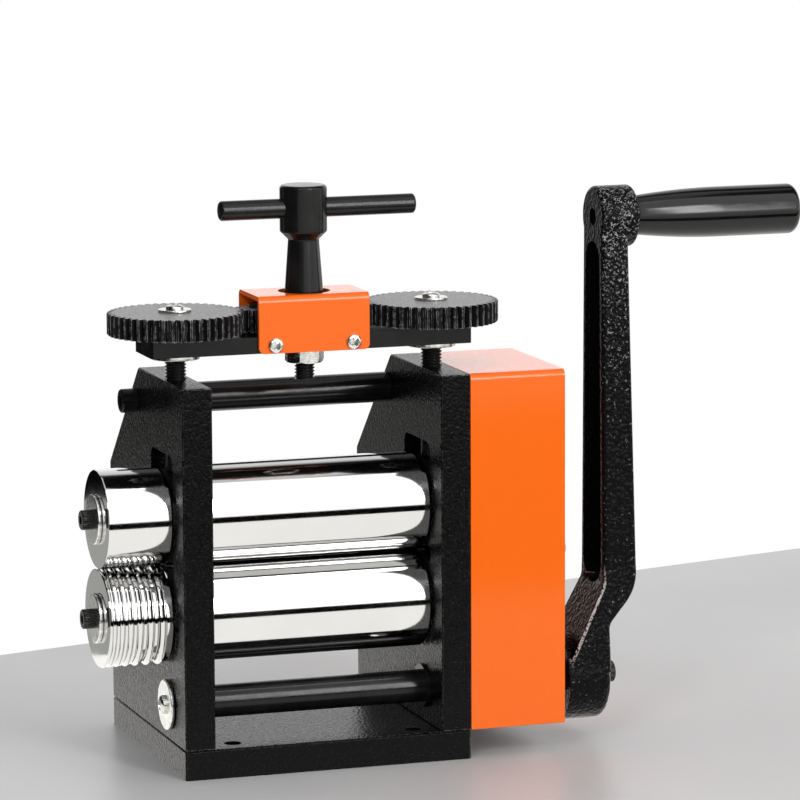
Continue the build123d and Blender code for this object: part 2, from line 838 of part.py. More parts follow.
def crank_arm():
    """The cast crank: hub, jogged arm with a long pocket, and boss for the grip."""
    face = Plane.YZ.offset(hub_x) * Pos(drive_y, drive_z) * crank_arm_section()
    broad = extrude(face, amount=boss_end_x - hub_x)
    reach = 2 * crank_hub_diameter
    side = Plane.XZ.offset(-drive_y - reach / 2) * Pos(0, drive_z) * crank_side_section()
    arm = broad & extrude(side, amount=reach)
    edges = [e for e in arm.edges() if abs(e.tangent_at(0.5).Z) > 0.7]
    arm = fillet(edges, crank_edge_radius)
    boss = rod_x(crank_boss_diameter, arm_x, boss_end_x, drive_y, boss_z)
    boss = fillet(boss.edges().filter_by(GeomType.CIRCLE), crank_edge_radius)
    hub = rod_x(crank_hub_diameter, hub_x, hub_end_x, drive_y, drive_z)
    outer_rim = hub.edges().filter_by(GeomType.CIRCLE).sort_by(Axis.X)[-1]
    hub = fillet(outer_rim, 2 * crank_edge_radius)
    casting = arm + boss + hub - crank_pocket()
    bore = drive_shaft_diameter + 2 * assembly_fit
    casting -= rod_x(bore, hub_x - 1, hub_end_x + 1, drive_y, drive_z)
    bolt = grip_bolt_diameter + 2 * assembly_fit
    return casting - rod_x(bolt, arm_x - 1, boss_end_x + 1, drive_y, boss_z)


def crank_washer():
    bore = crank_screw_diameter + 2 * assembly_fit
    return ring_x(crank_washer_diameter, bore, hub_end_x,
                  hub_end_x + crank_washer_thickness, drive_y, drive_z)


def crank_screw():
    face = hub_end_x + crank_washer_thickness
    return socket_screw_x(crank_screw_diameter, crank_screw_head_diameter,
                          crank_screw_head_height, crank_screw_socket_across,
                          face, face - crank_screw_length, drive_y, drive_z)


def grip_bolt():
    """The grip's axle, screwed into the boss and set back in its inner face."""
    start = arm_x + grip_bolt_recess
    end = grip_x + grip_bolt_reach
    radius = grip_bolt_diameter / 2
    outline = [
        (start, radius - grip_bolt_chamfer), (start + grip_bolt_chamfer, radius),
        (end - grip_bolt_chamfer, radius), (end, radius - grip_bolt_chamfer),
    ]
    bolt = turned_x(outline, drive_y, boss_z)
    socket_end = start + grip_bolt_socket_depth
    return bolt - hex_prism_x(radius, start, socket_end, drive_y, boss_z)


def handle_grip():
    """The swelling grip, with a blind bore for its axle."""
    end = grip_x + grip_length
    inner = grip_inner_diameter / 2
    middle = grip_middle_diameter / 2
    outer = grip_outer_diameter / 2
    swell_x = grip_x + grip_swell_length
    first = ThreePointArc((grip_x, inner), (grip_x + grip_swell_length / 2, middle),
                          (swell_x, outer))
    shoulder_x = end - grip_end_radius
    second = Line((swell_x, outer), (shoulder_x, outer))
    turn = grip_end_radius * math.sqrt(0.5)
    third = ThreePointArc((shoulder_x, outer),
                          (shoulder_x + turn, outer - grip_end_radius + turn),
                          (end, outer - grip_end_radius))
    close = Polyline((end, outer - grip_end_radius), (end, 0), (grip_x, 0),
                     (grip_x, inner))
    section = make_face(Curve() + [first, second, third, close])
    grip = Pos(0, drive_y, boss_z) * revolve(section, Axis.X)
    bore = grip_bolt_diameter + 2 * running_fit
    reach = grip_x + grip_bolt_reach + running_gap
    return grip - rod_x(bore, grip_x - 1, reach, drive_y, boss_z)


# ---------------------------------------------------------------- carrier and bracket


def carrier_bar():
    """The bar that ties both pressure screws and the spindle together."""
    length = 2 * (screw_x + carrier_overhang)
    bar = Box(length, carrier_depth, carrier_thickness)
    bar = fillet(bar.edges().filter_by(Axis.Z), carrier_corner_radius)
    bar = Pos(0, roller_y, carrier_height + carrier_thickness / 2) * bar
    low, high = carrier_height - 1, carrier_top + 1
    journal = pressure_journal_diameter + 2 * running_fit
    for x in (-screw_x, screw_x):
        bar -= rod_z(journal, low, high, x, roller_y)
    bar -= rod_z(spindle_journal_diameter + 2 * running_fit, low, high, 0, roller_y)
    for x in (-idler_x, idler_x):
        bar -= rod_z(idler_pin_diameter + 2 * assembly_fit, low, high, x, roller_y)
    hole = bracket_screw_diameter + 2 * assembly_fit
    for place, turn in bracket_screw_places():
        drill = rod_z(hole, -bracket_screw_tapping, 1)
        bar -= Pos(*place) * Rot(turn, 0, 0) * drill
    return bar


def bracket_screw_places():
    """Centre on the bracket's face, and the turn that points +Z outwards."""
    z = carrier_height + carrier_thickness / 2
    places = []
    for x in (-bracket_screw_spacing / 2, bracket_screw_spacing / 2):
        places.append(((x, bracket_front_y, z), 90))
        places.append(((x, bracket_rear_y, z), -90))
    return places


def bracket_screws():
    screw = pan_screw(bracket_screw_diameter, bracket_head_diameter,
                      bracket_head_height, bracket_screw_length)
    return [Pos(*place) * Rot(turn, 0, 0) * screw for place, turn in bracket_screw_places()]


def pinion_bracket():
    """A sheet bent to an upturned U over the carrier bar, open at both ends."""
    depth = bracket_rear_y - bracket_front_y
    start = -bracket_width / 2
    body = bracket_prism(depth, bracket_top, bracket_bend_radius, start, start + bracket_width)
    inner_radius = bracket_bend_radius - bracket_sheet
    body -= bracket_prism(depth - 2 * bracket_sheet, bracket_top - bracket_sheet,
                          inner_radius, start - 1, start + bracket_width + 1)
    feet = [
        e for e in body.edges().filter_by(Axis.Y)
        if abs(e.center().Z - carrier_height) < 0.01
    ]
    body = fillet(feet, bracket_corner_radius)
    body -= rod_z(bracket_hole_diameter, bracket_top - bracket_height / 2, bracket_top + 1,
                  0, roller_y)
    hole = bracket_screw_diameter + 2 * assembly_fit
    for place, turn in bracket_screw_places():
        drill = rod_z(hole, -bracket_sheet - 1, 1)
        body -= Pos(*place) * Rot(turn, 0, 0) * drill
    return body


def bracket_prism(depth, top, radius, start, end):
    """A block along X over the carrier bar, its two upper edges rounded."""
    block = Box(end - start, depth, top - carrier_height, align=BOTTOM)
    upper_edges = block.edges().filter_by(Axis.X).group_by(Axis.Z)[-1]
    block = fillet(upper_edges, radius)
    return Pos((start + end) / 2, roller_y, carrier_height) * block


# ---------------------------------------------------------------- pressure screws


def pressure_screw(side):
    """The screw that sets one end of the upper roller."""
    tip = upper_axis_height + block_height / 2 + pressure_tip_gap
    shoulder = carrier_height - running_gap - bar_washer_thickness
    radius = pressure_screw_diameter / 2
    journal = pressure_journal_diameter / 2
    outline = [
        (radius - 1.0, tip), (radius, tip + 1.0), (radius, shoulder),
        (journal, shoulder), (journal, gear_top - 0.1),
    ]
    screw = turned_z(outline, side * screw_x, roller_y)
    hole = top_screw_diameter + 2 * assembly_fit
    floor = gear_top - top_screw_tapping
    return screw - rod_z(hole, floor, gear_top + 1, side * screw_x, roller_y)


def bar_washer(side):
    top = carrier_height - running_gap
    bore = pressure_journal_diameter + 2 * assembly_fit
    return ring_z(bar_washer_diameter, bore, top - bar_washer_thickness, top,
                  side * screw_x, roller_y)


def lift_gear(side):
    """The gear on top of a pressure screw, with a boss down to the carrier bar."""
    phase = 180 if side > 0 else 0
    x = side * screw_x
    points = gear_outline(lift_gear_teeth, lift_module, phase, lift_backlash)
    gear = gear_along_z(points, gear_z, lift_gear_width, x, roller_y)
    rim = lift_module * (lift_gear_teeth + 2)
    gear = gear & chamfered_disc_z(rim, gear_chamfer, gear_z, gear_top, x, roller_y)
    gear += rod_z(gear_boss_diameter, carrier_top + running_gap, gear_z, x, roller_y)
    bore = pressure_journal_diameter + 2 * assembly_fit
    return gear - rod_z(bore, carrier_top, gear_top + 1, x, roller_y)


def gear_fastener(side):
    """The washer and cross-head screw that hold a lift gear."""
    x = side * screw_x
    bore = top_screw_diameter + 2 * assembly_fit
    seat = gear_top + top_washer_thickness
    washer = ring_z(top_washer_diameter, bore, gear_top, seat, x, roller_y)
    screw = pan_screw(top_screw_diameter, top_screw_head_diameter, top_screw_head_height,
                      top_screw_length)
    return [washer, Pos(x, roller_y, seat) * screw]


def idler_gear(side):
    """The small gear between the spindle's pinion and a lift gear."""
    x = side * idler_x
    points = gear_outline(idler_teeth, lift_module, 180 / idler_teeth, lift_backlash,
                          1.0, 1.25, 0.1)
    gear = gear_along_z(points, gear_z, lift_gear_width, x, roller_y)
    gear += rod_z(idler_pin_diameter + 6, carrier_top + running_gap, gear_z, x, roller_y)
    bore = idler_pin_diameter + 2 * running_fit
    return gear - rod_z(bore, carrier_top, gear_top + 1, x, roller_y)


def idler_pins():
    radius = idler_pin_diameter / 2
    head = idler_head_diameter / 2
    outline = [
        (radius, carrier_height + 0.2), (radius, idler_pin_top), (head, idler_pin_top),
        (head, idler_pin_top + idler_head_height),
    ]
    return [turned_z(outline, x, roller_y) for x in (-idler_x, idler_x)]


# ---------------------------------------------------------------- T-handled spindle


def t_spindle():
    """Threaded tip, journal, tapered neck and cross-drilled head in one piece."""
    thread = spindle_thread_diameter / 2
    journal = spindle_journal_diameter / 2
    low = spindle_neck_low_diameter / 2
    neck = spindle_neck_top_diameter / 2
    head = spindle_head_diameter / 2
    outline = [
        (thread - 0.8, spindle_tip_height), (thread, spindle_tip_height + 0.8),
        (thread, carrier_height - running_gap), (journal, carrier_height - running_gap),
        (journal, gear_top + running_gap), (low, gear_top + running_gap),
        (low, bracket_top), (neck, neck_top), (head, head_bottom),
        (head, head_top - 1.0), (head - 1.0, head_top),
    ]
    spindle = turned_z(outline, 0, roller_y)
    hole = cross_bar_diameter + 2 * assembly_fit
    return spindle - rod_x(hole, -head - 1, head + 1, roller_y, cross_bar_z)


def cross_bar():
    radius = cross_bar_diameter / 2
    start = cross_bar_shift - cross_bar_length / 2
    end = cross_bar_shift + cross_bar_length / 2
    outline = [
        (start, radius - cross_bar_chamfer), (start + cross_bar_chamfer, radius),
        (end - cross_bar_chamfer, radius), (end, radius - cross_bar_chamfer),
    ]
    return turned_x(outline, roller_y, cross_bar_z)


def spindle_pinion():
    points = gear_outline(spindle_pinion_teeth, lift_module, 0, lift_backlash,
                          1.0, 1.25, 0.1)
    gear = gear_along_z(points, gear_z, lift_gear_width, 0, roller_y)
    gear += rod_z(spindle_journal_diameter + 6, carrier_top + running_gap, gear_z, 0, roller_y)
    bore = spindle_journal_diameter + 2 * assembly_fit
    return gear - rod_z(bore, carrier_top, gear_top + 1, 0, roller_y)


def spindle_nut():
    """The nut that holds the spindle under the carrier bar."""
    top = carrier_height - running_gap
    section = RegularPolygon(spindle_nut_across / 2, 6, major_radius=False)
    nut = extrude(Pos(0, roller_y, top - spindle_nut_height) * section,
                  amount=spindle_nut_height)
    corner = spindle_nut_across / math.sqrt(3)
    trim = chamfered_disc_z(2 * corner, spindle_nut_chamfer, top - spindle_nut_height, top, 0, roller_y)
    nut = nut & trim
    bore = spindle_thread_diameter + 2 * assembly_fit
    return nut - rod_z(bore, top - spindle_nut_height - 1, top + 1, 0, roller_y)


# ---------------------------------------------------------------- the whole mill


def all_nodes():
    upper_end = roller_gear_x + roller_gear_width
    lower_end = driven_gear_x + driven_gear_width
    lower, upper = lower_axis_height, upper_axis_height
    cap_face = side_end_x - side_washer_thickness
    nodes = {
        "base_plate": base_plate(),
        "frame_screws": frame_screws(),
        "tie_bar": tie_bar(),
        "tie_bar_screws": tie_bar_screws(),
        "lower_bushes": roller_bushes(lower),
        "upper_bushes": roller_bushes(upper),
        "shaft_bushes": shaft_bushes(),
        "return_springs": return_springs(),
        "gear_cover": gear_cover(),
        "cover_posts": cover_posts(),
        "cover_screws": cover_screws(),
        "lower_roller": main_roller(lower, lower_end),
        "upper_roller": main_roller(upper, upper_end),
        "lower_side_roller": side_roller(lower, True),
        "upper_side_roller": side_roller(upper, False),
        "lower_roller_gear": roller_gear(lower, 90),
        "upper_roller_gear": roller_gear(upper, 270 + 180 / roller_gear_teeth),
        "driven_gear": driven_gear(),
        "drive_shaft": drive_shaft(),
        "drive_pinion": drive_pinion(),
        "shaft_end_washer": shaft_end_washer(),
        "shaft_end_screw": shaft_end_screw(),
        "crank_arm": crank_arm(),
        "crank_washer": crank_washer(),
        "crank_screw": crank_screw(),
        "grip_bolt": grip_bolt(),
        "handle_grip": handle_grip(),
        "carrier_bar": carrier_bar(),
        "pinion_bracket": pinion_bracket(),
        "bracket_screws": bracket_screws(),
        "idler_pins": idler_pins(),
        "t_spindle": t_spindle(),
        "cross_bar": cross_bar(),
        "spindle_pinion": spindle_pinion(),
        "spindle_nut": spindle_nut(),
    }
    for name, axis_z, gear_end in (("lower", lower, lower_end), ("upper", upper, upper_end)):
        gear_face = gear_end + side_washer_thickness
        nodes[name + "_side_washer"] = end_washer(
            side_end_x, axis_z, side_washer_thickness, side_washer_diameter)
        nodes[name + "_side_screw"] = end_screw(cap_face, axis_z)
        nodes[name + "_gear_washer"] = end_washer(
            gear_end, axis_z, side_washer_thickness, side_washer_diameter)
        nodes[name + "_gear_screw"] = end_screw(gear_face, axis_z)
    for name, side in (("left", -1), ("right", 1)):
        nodes["side_frame_" + name] = side_frame(side)
        nodes["lower_block_" + name] = bearing_block(side, lower, -1)
        nodes["upper_block_" + name] = bearing_block(side, upper, 1)
        nodes["pressure_screw_" + name] = pressure_screw(side)
        nodes["bar_washer_" + name] = bar_washer(side)
        nodes["lift_gear_" + name] = lift_gear(side)
        nodes["gear_fastener_" + name] = gear_fastener(side)
        nodes["idler_gear_" + name] = idler_gear(side)
    return nodes


os.makedirs("parts", exist_ok=True)
for node_name, shape in all_nodes().items():
    if isinstance(shape, list):
        solids = [solid for item in shape for solid in item.solids()]
    else:
        solids = shape.solids()
    body = solids[0] if len(solids) == 1 else Compound(children=solids)
    export_step(body, f"parts/{node_name}.step")
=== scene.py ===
"""Looks of a hand cranked rolling mill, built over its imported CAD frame."""

import json
import math

import bmesh
import bpy
from bpy.props import FloatProperty, FloatVectorProperty, IntProperty, PointerProperty
from mathutils import Matrix, Vector

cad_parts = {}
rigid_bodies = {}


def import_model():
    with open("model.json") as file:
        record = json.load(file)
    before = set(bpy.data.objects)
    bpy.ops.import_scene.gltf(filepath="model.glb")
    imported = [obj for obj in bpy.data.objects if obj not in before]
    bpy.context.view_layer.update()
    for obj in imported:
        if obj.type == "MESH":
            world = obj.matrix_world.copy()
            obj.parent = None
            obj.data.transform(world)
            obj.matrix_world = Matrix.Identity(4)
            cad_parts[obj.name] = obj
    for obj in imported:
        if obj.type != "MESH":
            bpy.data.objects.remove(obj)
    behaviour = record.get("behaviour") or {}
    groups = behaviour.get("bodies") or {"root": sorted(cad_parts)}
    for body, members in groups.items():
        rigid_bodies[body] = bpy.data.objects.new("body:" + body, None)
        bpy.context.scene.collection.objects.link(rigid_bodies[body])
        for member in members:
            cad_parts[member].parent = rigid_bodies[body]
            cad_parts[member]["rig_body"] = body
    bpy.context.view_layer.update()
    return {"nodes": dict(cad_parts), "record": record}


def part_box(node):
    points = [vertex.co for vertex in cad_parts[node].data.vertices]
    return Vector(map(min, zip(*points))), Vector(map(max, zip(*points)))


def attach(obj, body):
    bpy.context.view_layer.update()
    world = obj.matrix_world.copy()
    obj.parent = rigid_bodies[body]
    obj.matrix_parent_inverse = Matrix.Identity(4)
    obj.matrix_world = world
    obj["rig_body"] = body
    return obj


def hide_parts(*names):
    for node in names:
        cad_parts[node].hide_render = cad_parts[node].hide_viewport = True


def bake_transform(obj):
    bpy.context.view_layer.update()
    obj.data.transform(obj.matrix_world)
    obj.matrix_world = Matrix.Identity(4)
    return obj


bl_info = {
    "name": "Rolling mill looks",
    "version": (1, 0, 0),
    "blender": (4, 5, 0),
    "location": "3D Viewport > Sidebar > Mill",
    "description": "Detailed pieces and finishes of a hand cranked rolling mill",
    "category": "Object",
}

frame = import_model()
RECORD = frame["record"]
SLOT_OF = {part["node"]: part["material_slot"] for part in RECORD["subparts"]}
BODY_OF = {
    node: body
    for body, nodes in RECORD["behaviour"]["bodies"].items()
    for node in nodes
}
MM = 0.001
AXES = {
    "+X": Matrix.Rotation(math.pi / 2, 4, "Y"),
    "-X": Matrix.Rotation(-math.pi / 2, 4, "Y"),
    "+Y": Matrix.Rotation(-math.pi / 2, 4, "X"),
    "-Y": Matrix.Rotation(math.pi / 2, 4, "X"),
    "+Z": Matrix.Identity(4),
}


# ---------------------------------------------------------------- settings


def length(name, description, millimetres):
    """A size property, given in millimetres and kept in metres."""
    return FloatProperty(name=name, description=description, default=millimetres * MM,
                         min=0.0, unit="LENGTH", subtype="DISTANCE", precision=5)


def colour(name, description, value):
    """A linear colour property."""
    return FloatVectorProperty(name=name, description=description, default=value,
                               size=3, min=0.0, soft_max=1.0, subtype="COLOR")


class MillSizes(bpy.types.PropertyGroup):
    """Sizes of the details that the scene adds to the frame."""

    rim: length("Rim", "Rounding of turned rims", 0.25)
    roller_chamfer: length("Roller chamfer", "Chamfer at the rollers' ends", 0.8)
    groove_widths: FloatVectorProperty(
        name="Groove widths", description="Wire grooves from the outer end inwards, in mm",
        size=6, default=(2.2, 2.6, 3.0, 3.5, 4.0, 4.5))
    groove_land: length("Groove land", "Flat between two grooves", 1.1)
    groove_end: length("First land", "Flat before the first groove", 0.3)
    thread_pitch: length("Thread pitch", "Pitch of the pressure screws", 1.5)
    thread_depth: length("Thread depth", "Depth of the threads in view", 0.85)
    lift_teeth: IntProperty(name="Lift gear teeth", description="Teeth of a lift gear",
                            default=47, min=8)
    idler_teeth: IntProperty(name="Idler teeth", description="Teeth of an idler",
                             default=16, min=8)
    pinion_teeth: IntProperty(name="Pinion teeth", description="Teeth of the spindle pinion",
                              default=18, min=8)
    lift_module: length("Lift module", "Module of the lift train", 1.25)
    lift_backlash: length("Lift backlash", "Play of the lift train", 0.16)
    drive_module: length("Drive module", "Module of the crank drive", 2.0)
    drive_backlash: length("Drive backlash", "Play of the crank drive", 0.3)
    roller_teeth: IntProperty(name="Roller gear teeth", description="Teeth of a roller gear",
                              default=12, min=8)
    gear_chamfer: length("Gear chamfer", "Chamfer on the tips of the teeth", 0.6)
    knurls: IntProperty(name="Knurls", description="Ribs round a socket screw's head",
                        default=36, min=6)
    spring_wire: length("Spring wire", "Wire of the return springs", 1.0)
    spring_turns: IntProperty(name="Spring turns", description="Turns of a return spring",
                              default=7, min=2)


class MillColours(bpy.types.PropertyGroup):
    """Base colours of the finishes."""

    coat: colour("Powder coat", "Black coat of the frame", (0.0022, 0.0021, 0.0022))
    enamel: colour("Enamel", "Orange sheet metal", (0.97, 0.150, 0.004))
    chrome: colour("Rollers", "Polished roller steel", (0.60, 0.60, 0.595))
    oxide: colour("Black oxide", "Turned black steel", (0.007, 0.0067, 0.0067))
    gear: colour("Gear steel", "Black gear steel", (0.008, 0.008, 0.0085))
    zinc: colour("Zinc plate", "Washers and small screws", (0.72, 0.73, 0.70))
    bronze: colour("Bronze", "Bearing bushes", (0.58, 0.35, 0.14))
    casting: colour("Casting", "Hammered paint of the crank", (0.0035, 0.0035, 0.0038))
    grip: colour("Grip", "Polished plastic grip", (0.003, 0.003, 0.0033))


class MillStage(bpy.types.PropertyGroup):
    """Camera, floor and light."""

    camera_place: FloatVectorProperty(
        name="Camera", description="Place of the camera", size=3, unit="LENGTH",
        subtype="TRANSLATION", default=(-0.6312, -2.0663, 0.4945))
    camera_yaw: FloatProperty(name="Yaw", description="Turn of the view to the right",
                              default=math.radians(18.366), subtype="ANGLE")
    camera_pitch: FloatProperty(name="Pitch", description="Tilt of the view downwards",
                                default=math.radians(8.807), subtype="ANGLE")
    camera_roll: FloatProperty(name="Roll", description="Roll of the view",
                               default=math.radians(-0.285), subtype="ANGLE")
    camera_lens: FloatProperty(name="Lens", description="Focal length in millimetres",
                               default=214.24, min=1.0)
    floor: colour("Floor", "Pale grey table", (0.57, 0.57, 0.57))
    floor_glow: colour("Floor glow", "Near floor as the polished parts mirror it",
                       (1.41, 1.385, 1.34))
    far_glow: colour("Far glow", "Far floor as the polished parts mirror it",
                     (0.46, 0.46, 0.445))
    daylight: FloatProperty(name="Daylight", description="Light from all round",
                            default=0.55, min=0.0)
    back_glow: FloatProperty(name="Back glow", description="Brightness behind, in reflections",
                             default=1.25, min=0.0)


class MillSettings(bpy.types.PropertyGroup):
    """All settings of the mill's looks."""

    sizes: PointerProperty(type=MillSizes)
    colours: PointerProperty(type=MillColours)
    stage: PointerProperty(type=MillStage)


def settings():
    """The mill's property groups on the scene."""
    return bpy.context.scene.mill


# ---------------------------------------------------------------- places


def span(node, axis):
    """Lowest and highest place of a CAD node along an axis, 0 to 2."""
    low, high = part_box(node)
    return low[axis], high[axis]


def middle(node):
    """Centre of a CAD node's box."""
    low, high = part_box(node)
    return (low + high) / 2


def radius_of(node, axis):
    """Half of a CAD node's width along an axis."""
    low, high = span(node, axis)
    return (high - low) / 2


# ---------------------------------------------------------------- meshes


def mesh_of(verts, faces):
    """A mesh from its points and its faces."""
    mesh = bpy.data.meshes.new("work")
    mesh.from_pydata(verts, [], faces)
    return mesh


def moved(mesh, place, axis="+Z", turn=0.0):
    """The mesh with its Z axis laid along an axis and its origin at a place."""
    spin = Matrix.Rotation(turn, 4, "Z")
    mesh.transform(Matrix.Translation(place) @ AXES[axis] @ spin)
    return mesh


def merged(meshes):
    """All the meshes in one mesh."""
    bm = bmesh.new()
    for mesh in meshes:
        bm.from_mesh(mesh)
    result = bpy.data.meshes.new("work")
    bm.to_mesh(result)
    bm.free()
    return result


def linked(name, mesh):
    """An object with the mesh, in the scene."""
    piece = bpy.data.objects.new(name, mesh)
    bpy.context.scene.collection.objects.link(piece)
    return piece


def evaluated(piece):
    """The mesh after the piece's modifiers, with the piece taken away."""
    bpy.context.view_layer.update()
    graph = bpy.context.evaluated_depsgraph_get()
    mesh = bpy.data.meshes.new_from_object(piece.evaluated_get(graph), depsgraph=graph)
    bpy.data.objects.remove(piece)
    return mesh


def eased(points, radius, steps=3):
    """A profile whose corners are turned into small arcs."""
    result = [points[0]]
    for before, here, after in zip(points, points[1:], points[2:]):
        corner = Vector(here)
        back, on = Vector(before) - corner, Vector(after) - corner
        reach = min(radius, 0.45 * back.length, 0.45 * on.length)
        start, end = corner + back.normalized() * reach, corner + on.normalized() * reach
        for step in range(steps + 1):
            t = step / steps
            bent = start * (1 - t) ** 2 + corner * 2 * t * (1 - t) + end * t ** 2
            result.append(tuple(bent))
    return result + [points[-1]]


def lathe(profile, steps=96, ring=False):
    """Mesh turned on Z from (radius, height) points; a ring profile closes on itself."""
    verts, rings = [], []
    for radius, height in profile:
        first = len(verts)
        if radius < 1e-7:
            verts.append((0.0, 0.0, height))
            rings.append([first])
            continue
        for step in range(steps):
            angle = 2 * math.pi * step / steps
            verts.append((radius * math.cos(angle), radius * math.sin(angle), height))
        rings.append(range(first, first + steps))
    pairs = list(zip(rings, rings[1:]))
    if ring:
        pairs.append((rings[-1], rings[0]))
    faces = []
    for lower, upper in pairs:
        for step in range(steps):
            on = (step + 1) % steps
            if len(lower) == 1:
                faces.append((lower[0], upper[on], upper[step]))
            elif len(upper) == 1:
                faces.append((lower[step], lower[on], upper[0]))
            else:
                faces.append((lower[step], lower[on], upper[on], upper[step]))
    return mesh_of(verts, faces)


def washer(outer, bore, thickness, rim):
    """A flat ring on Z with its outer rims eased."""
    half = min(rim, thickness / 3)
    profile = [
        (bore, 0.0), (outer - half, 0.0), (outer - half / 3, half / 3), (outer, half),
        (outer, thickness - half), (outer - half / 3, thickness - half / 3),
        (outer - half, thickness), (bore, thickness),
    ]
    return lathe(profile, 96, ring=True)


def threaded(radius, depth, pitch, start, end, columns=28, rings=24):
    """A right-hand thread on Z: the section of a screw, twisted along its length."""
    section = []
    for column in range(columns):
        share = column / columns
        fall = min(max(abs(2 * share - 1) * 1.3 - 0.15, 0.0), 1.0)
        section.append((radius - depth * fall, 2 * math.pi * share))
    count = max(2, round((end - start) / pitch * rings))
    verts, faces = [], []
    for ring in range(count + 1):
        height = start + (end - start) * ring / count
        twist = 2 * math.pi * height / pitch
        for reach, angle in section:
            verts.append((reach * math.cos(angle + twist), reach * math.sin(angle + twist),
                          height))
    for ring in range(count):
        here, above = ring * columns, (ring + 1) * columns
        for column in range(columns):
            on = (column + 1) % columns
            faces.append((here + column, here + on, above + on, above + column))
    faces.append(tuple(reversed(range(columns))))
    faces.append(tuple(range(count * columns, (count + 1) * columns)))
    return mesh_of(verts, faces)


def wedge(outline, levels, bore=0.0):
    """One slice of a toothed disc: (radius, angle) points at (height, reach) levels."""
    verts, columns = [], len(outline)
    for height, reach in levels:
        for radius, angle in outline:
            radius = min(radius, reach)
            verts.append((radius * math.cos(angle), radius * math.sin(angle), height))
    faces = []
    for level in range(len(levels) - 1):
        here, above = level * columns, (level + 1) * columns
        for column in range(columns - 1):
            faces.append((here + column, here + column + 1, above + column + 1,
                          above + column))
    inner = []
    for height in (levels[0][0], levels[-1][0]):
        ends = (outline[0][1], outline[-1][1]) if bore else (0.0,)
        inner.append([len(verts) + k for k in range(len(ends))])
        for angle in ends:
            verts.append((bore * math.cos(angle), bore * math.sin(angle), height))
    top = (len(levels) - 1) * columns
    faces.append(tuple([inner[1][0]] + list(range(top, top + columns)) + inner[1][1:]))
    faces.append(tuple(reversed([inner[0][0]] + list(range(columns)) + inner[0][1:])))
    if bore:
        faces.append((inner[0][0], inner[1][0], inner[1][1], inner[0][1]))
    return mesh_of(verts, faces)


def tooth(teeth, module, backlash, addendum=1.0, dedendum=1.25, undercut=0.0, steps=4):
    """(radius, angle) points of one involute tooth, from gap to gap."""
    pitch_radius = teeth * module / 2
    pressure = math.radians(20)
    base_radius = pitch_radius * math.cos(pressure)
    tip = pitch_radius + addendum * module
    root = pitch_radius - dedendum * module

    def half_angle(radius):
        here = math.acos(base_radius / max(radius, base_radius))
        angle = math.pi / (2 * teeth) - backlash / (4 * pitch_radius)
        angle += math.tan(pressure) - pressure - math.tan(here) + here
        return angle - undercut * max(0.0, base_radius - radius) / pitch_radius

    start = max(base_radius, root)
    radii = [start + (tip - start) * step / steps for step in range(steps + 1)]
    if base_radius > root:
        radii = [root] + radii
    rising = [(radius, -half_angle(radius)) for radius in radii]
    falling = [(radius, half_angle(radius)) for radius in reversed(radii)]
    gap = math.pi / teeth
    return [(root, -gap)] + rising + [(tip, 0.0)] + falling + [(root, gap)]


# ---------------------------------------------------------------- geometry nodes


def tree_with(name, inputs):
    """An empty geometry tree with a geometry input and named inputs after it."""
    tree = bpy.data.node_groups.new(name, "GeometryNodeTree")
    tree.interface.new_socket("Geometry", in_out="INPUT", socket_type="NodeSocketGeometry")
    for socket, kind in inputs:
        tree.interface.new_socket(socket, in_out="INPUT", socket_type="NodeSocket" + kind)
    tree.interface.new_socket("Geometry", in_out="OUTPUT", socket_type="NodeSocketGeometry")
    return tree


def add(tree, kind, values=(), **options):
    """A node with its options, and its inputs linked or set by name or number."""
    node = tree.nodes.new(kind)
    for option, value in options.items():
        setattr(node, option, value)
    for socket, value in dict(values).items():
        if isinstance(value, bpy.types.NodeSocket):
            tree.links.new(value, node.inputs[socket])
        else:
            node.inputs[socket].default_value = value
    return node


def end_with(tree, geometry, material):
    """Realize the copies, set their material and send them out."""
    real = add(tree, "GeometryNodeRealizeInstances", {0: geometry})
    dressed = add(tree, "GeometryNodeSetMaterial",
                  {"Geometry": real.outputs[0], "Material": material})
    add(tree, "NodeGroupOutput", {0: dressed.outputs[0]})


def copies_tree():
    """A part copied along a row, and the row copied round Z and welded."""
    tree = tree_with("Rows and rings", [
        ("Row count", "Int"), ("Row step", "Vector"), ("Ring count", "Int"),
        ("Weld", "Float"), ("Material", "Material"),
    ])
    given = tree.nodes.new("NodeGroupInput").outputs
    index = tree.nodes.new("GeometryNodeInputIndex").outputs[0]
    shift = add(tree, "ShaderNodeVectorMath", {0: given["Row step"], "Scale": index},
                operation="SCALE")
    row = add(tree, "GeometryNodePoints",
              {"Count": given["Row count"], "Position": shift.outputs[0]})
    laid = add(tree, "GeometryNodeInstanceOnPoints",
               {"Points": row.outputs[0], "Instance": given["Geometry"]})
    laid = add(tree, "GeometryNodeRealizeInstances", {0: laid.outputs[0]})
    turn = add(tree, "ShaderNodeMath", {0: index, 1: 2 * math.pi}, operation="MULTIPLY")
    turn = add(tree, "ShaderNodeMath", {0: turn.outputs[0], 1: given["Ring count"]},
               operation="DIVIDE")
    euler = add(tree, "ShaderNodeCombineXYZ", {"Z": turn.outputs[0]})
    spin = add(tree, "FunctionNodeEulerToRotation", {0: euler.outputs[0]})
    ring = add(tree, "GeometryNodePoints", {"Count": given["Ring count"]})
    turned = add(tree, "GeometryNodeInstanceOnPoints",
                 {"Points": ring.outputs[0], "Instance": laid.outputs[0],
                  "Rotation": spin.outputs[0]})
    real = add(tree, "GeometryNodeRealizeInstances", {0: turned.outputs[0]})
    welded = add(tree, "GeometryNodeMergeByDistance",
                 {"Geometry": real.outputs[0], "Distance": given["Weld"]})
    end_with(tree, welded.outputs[0], given["Material"])
    return tree


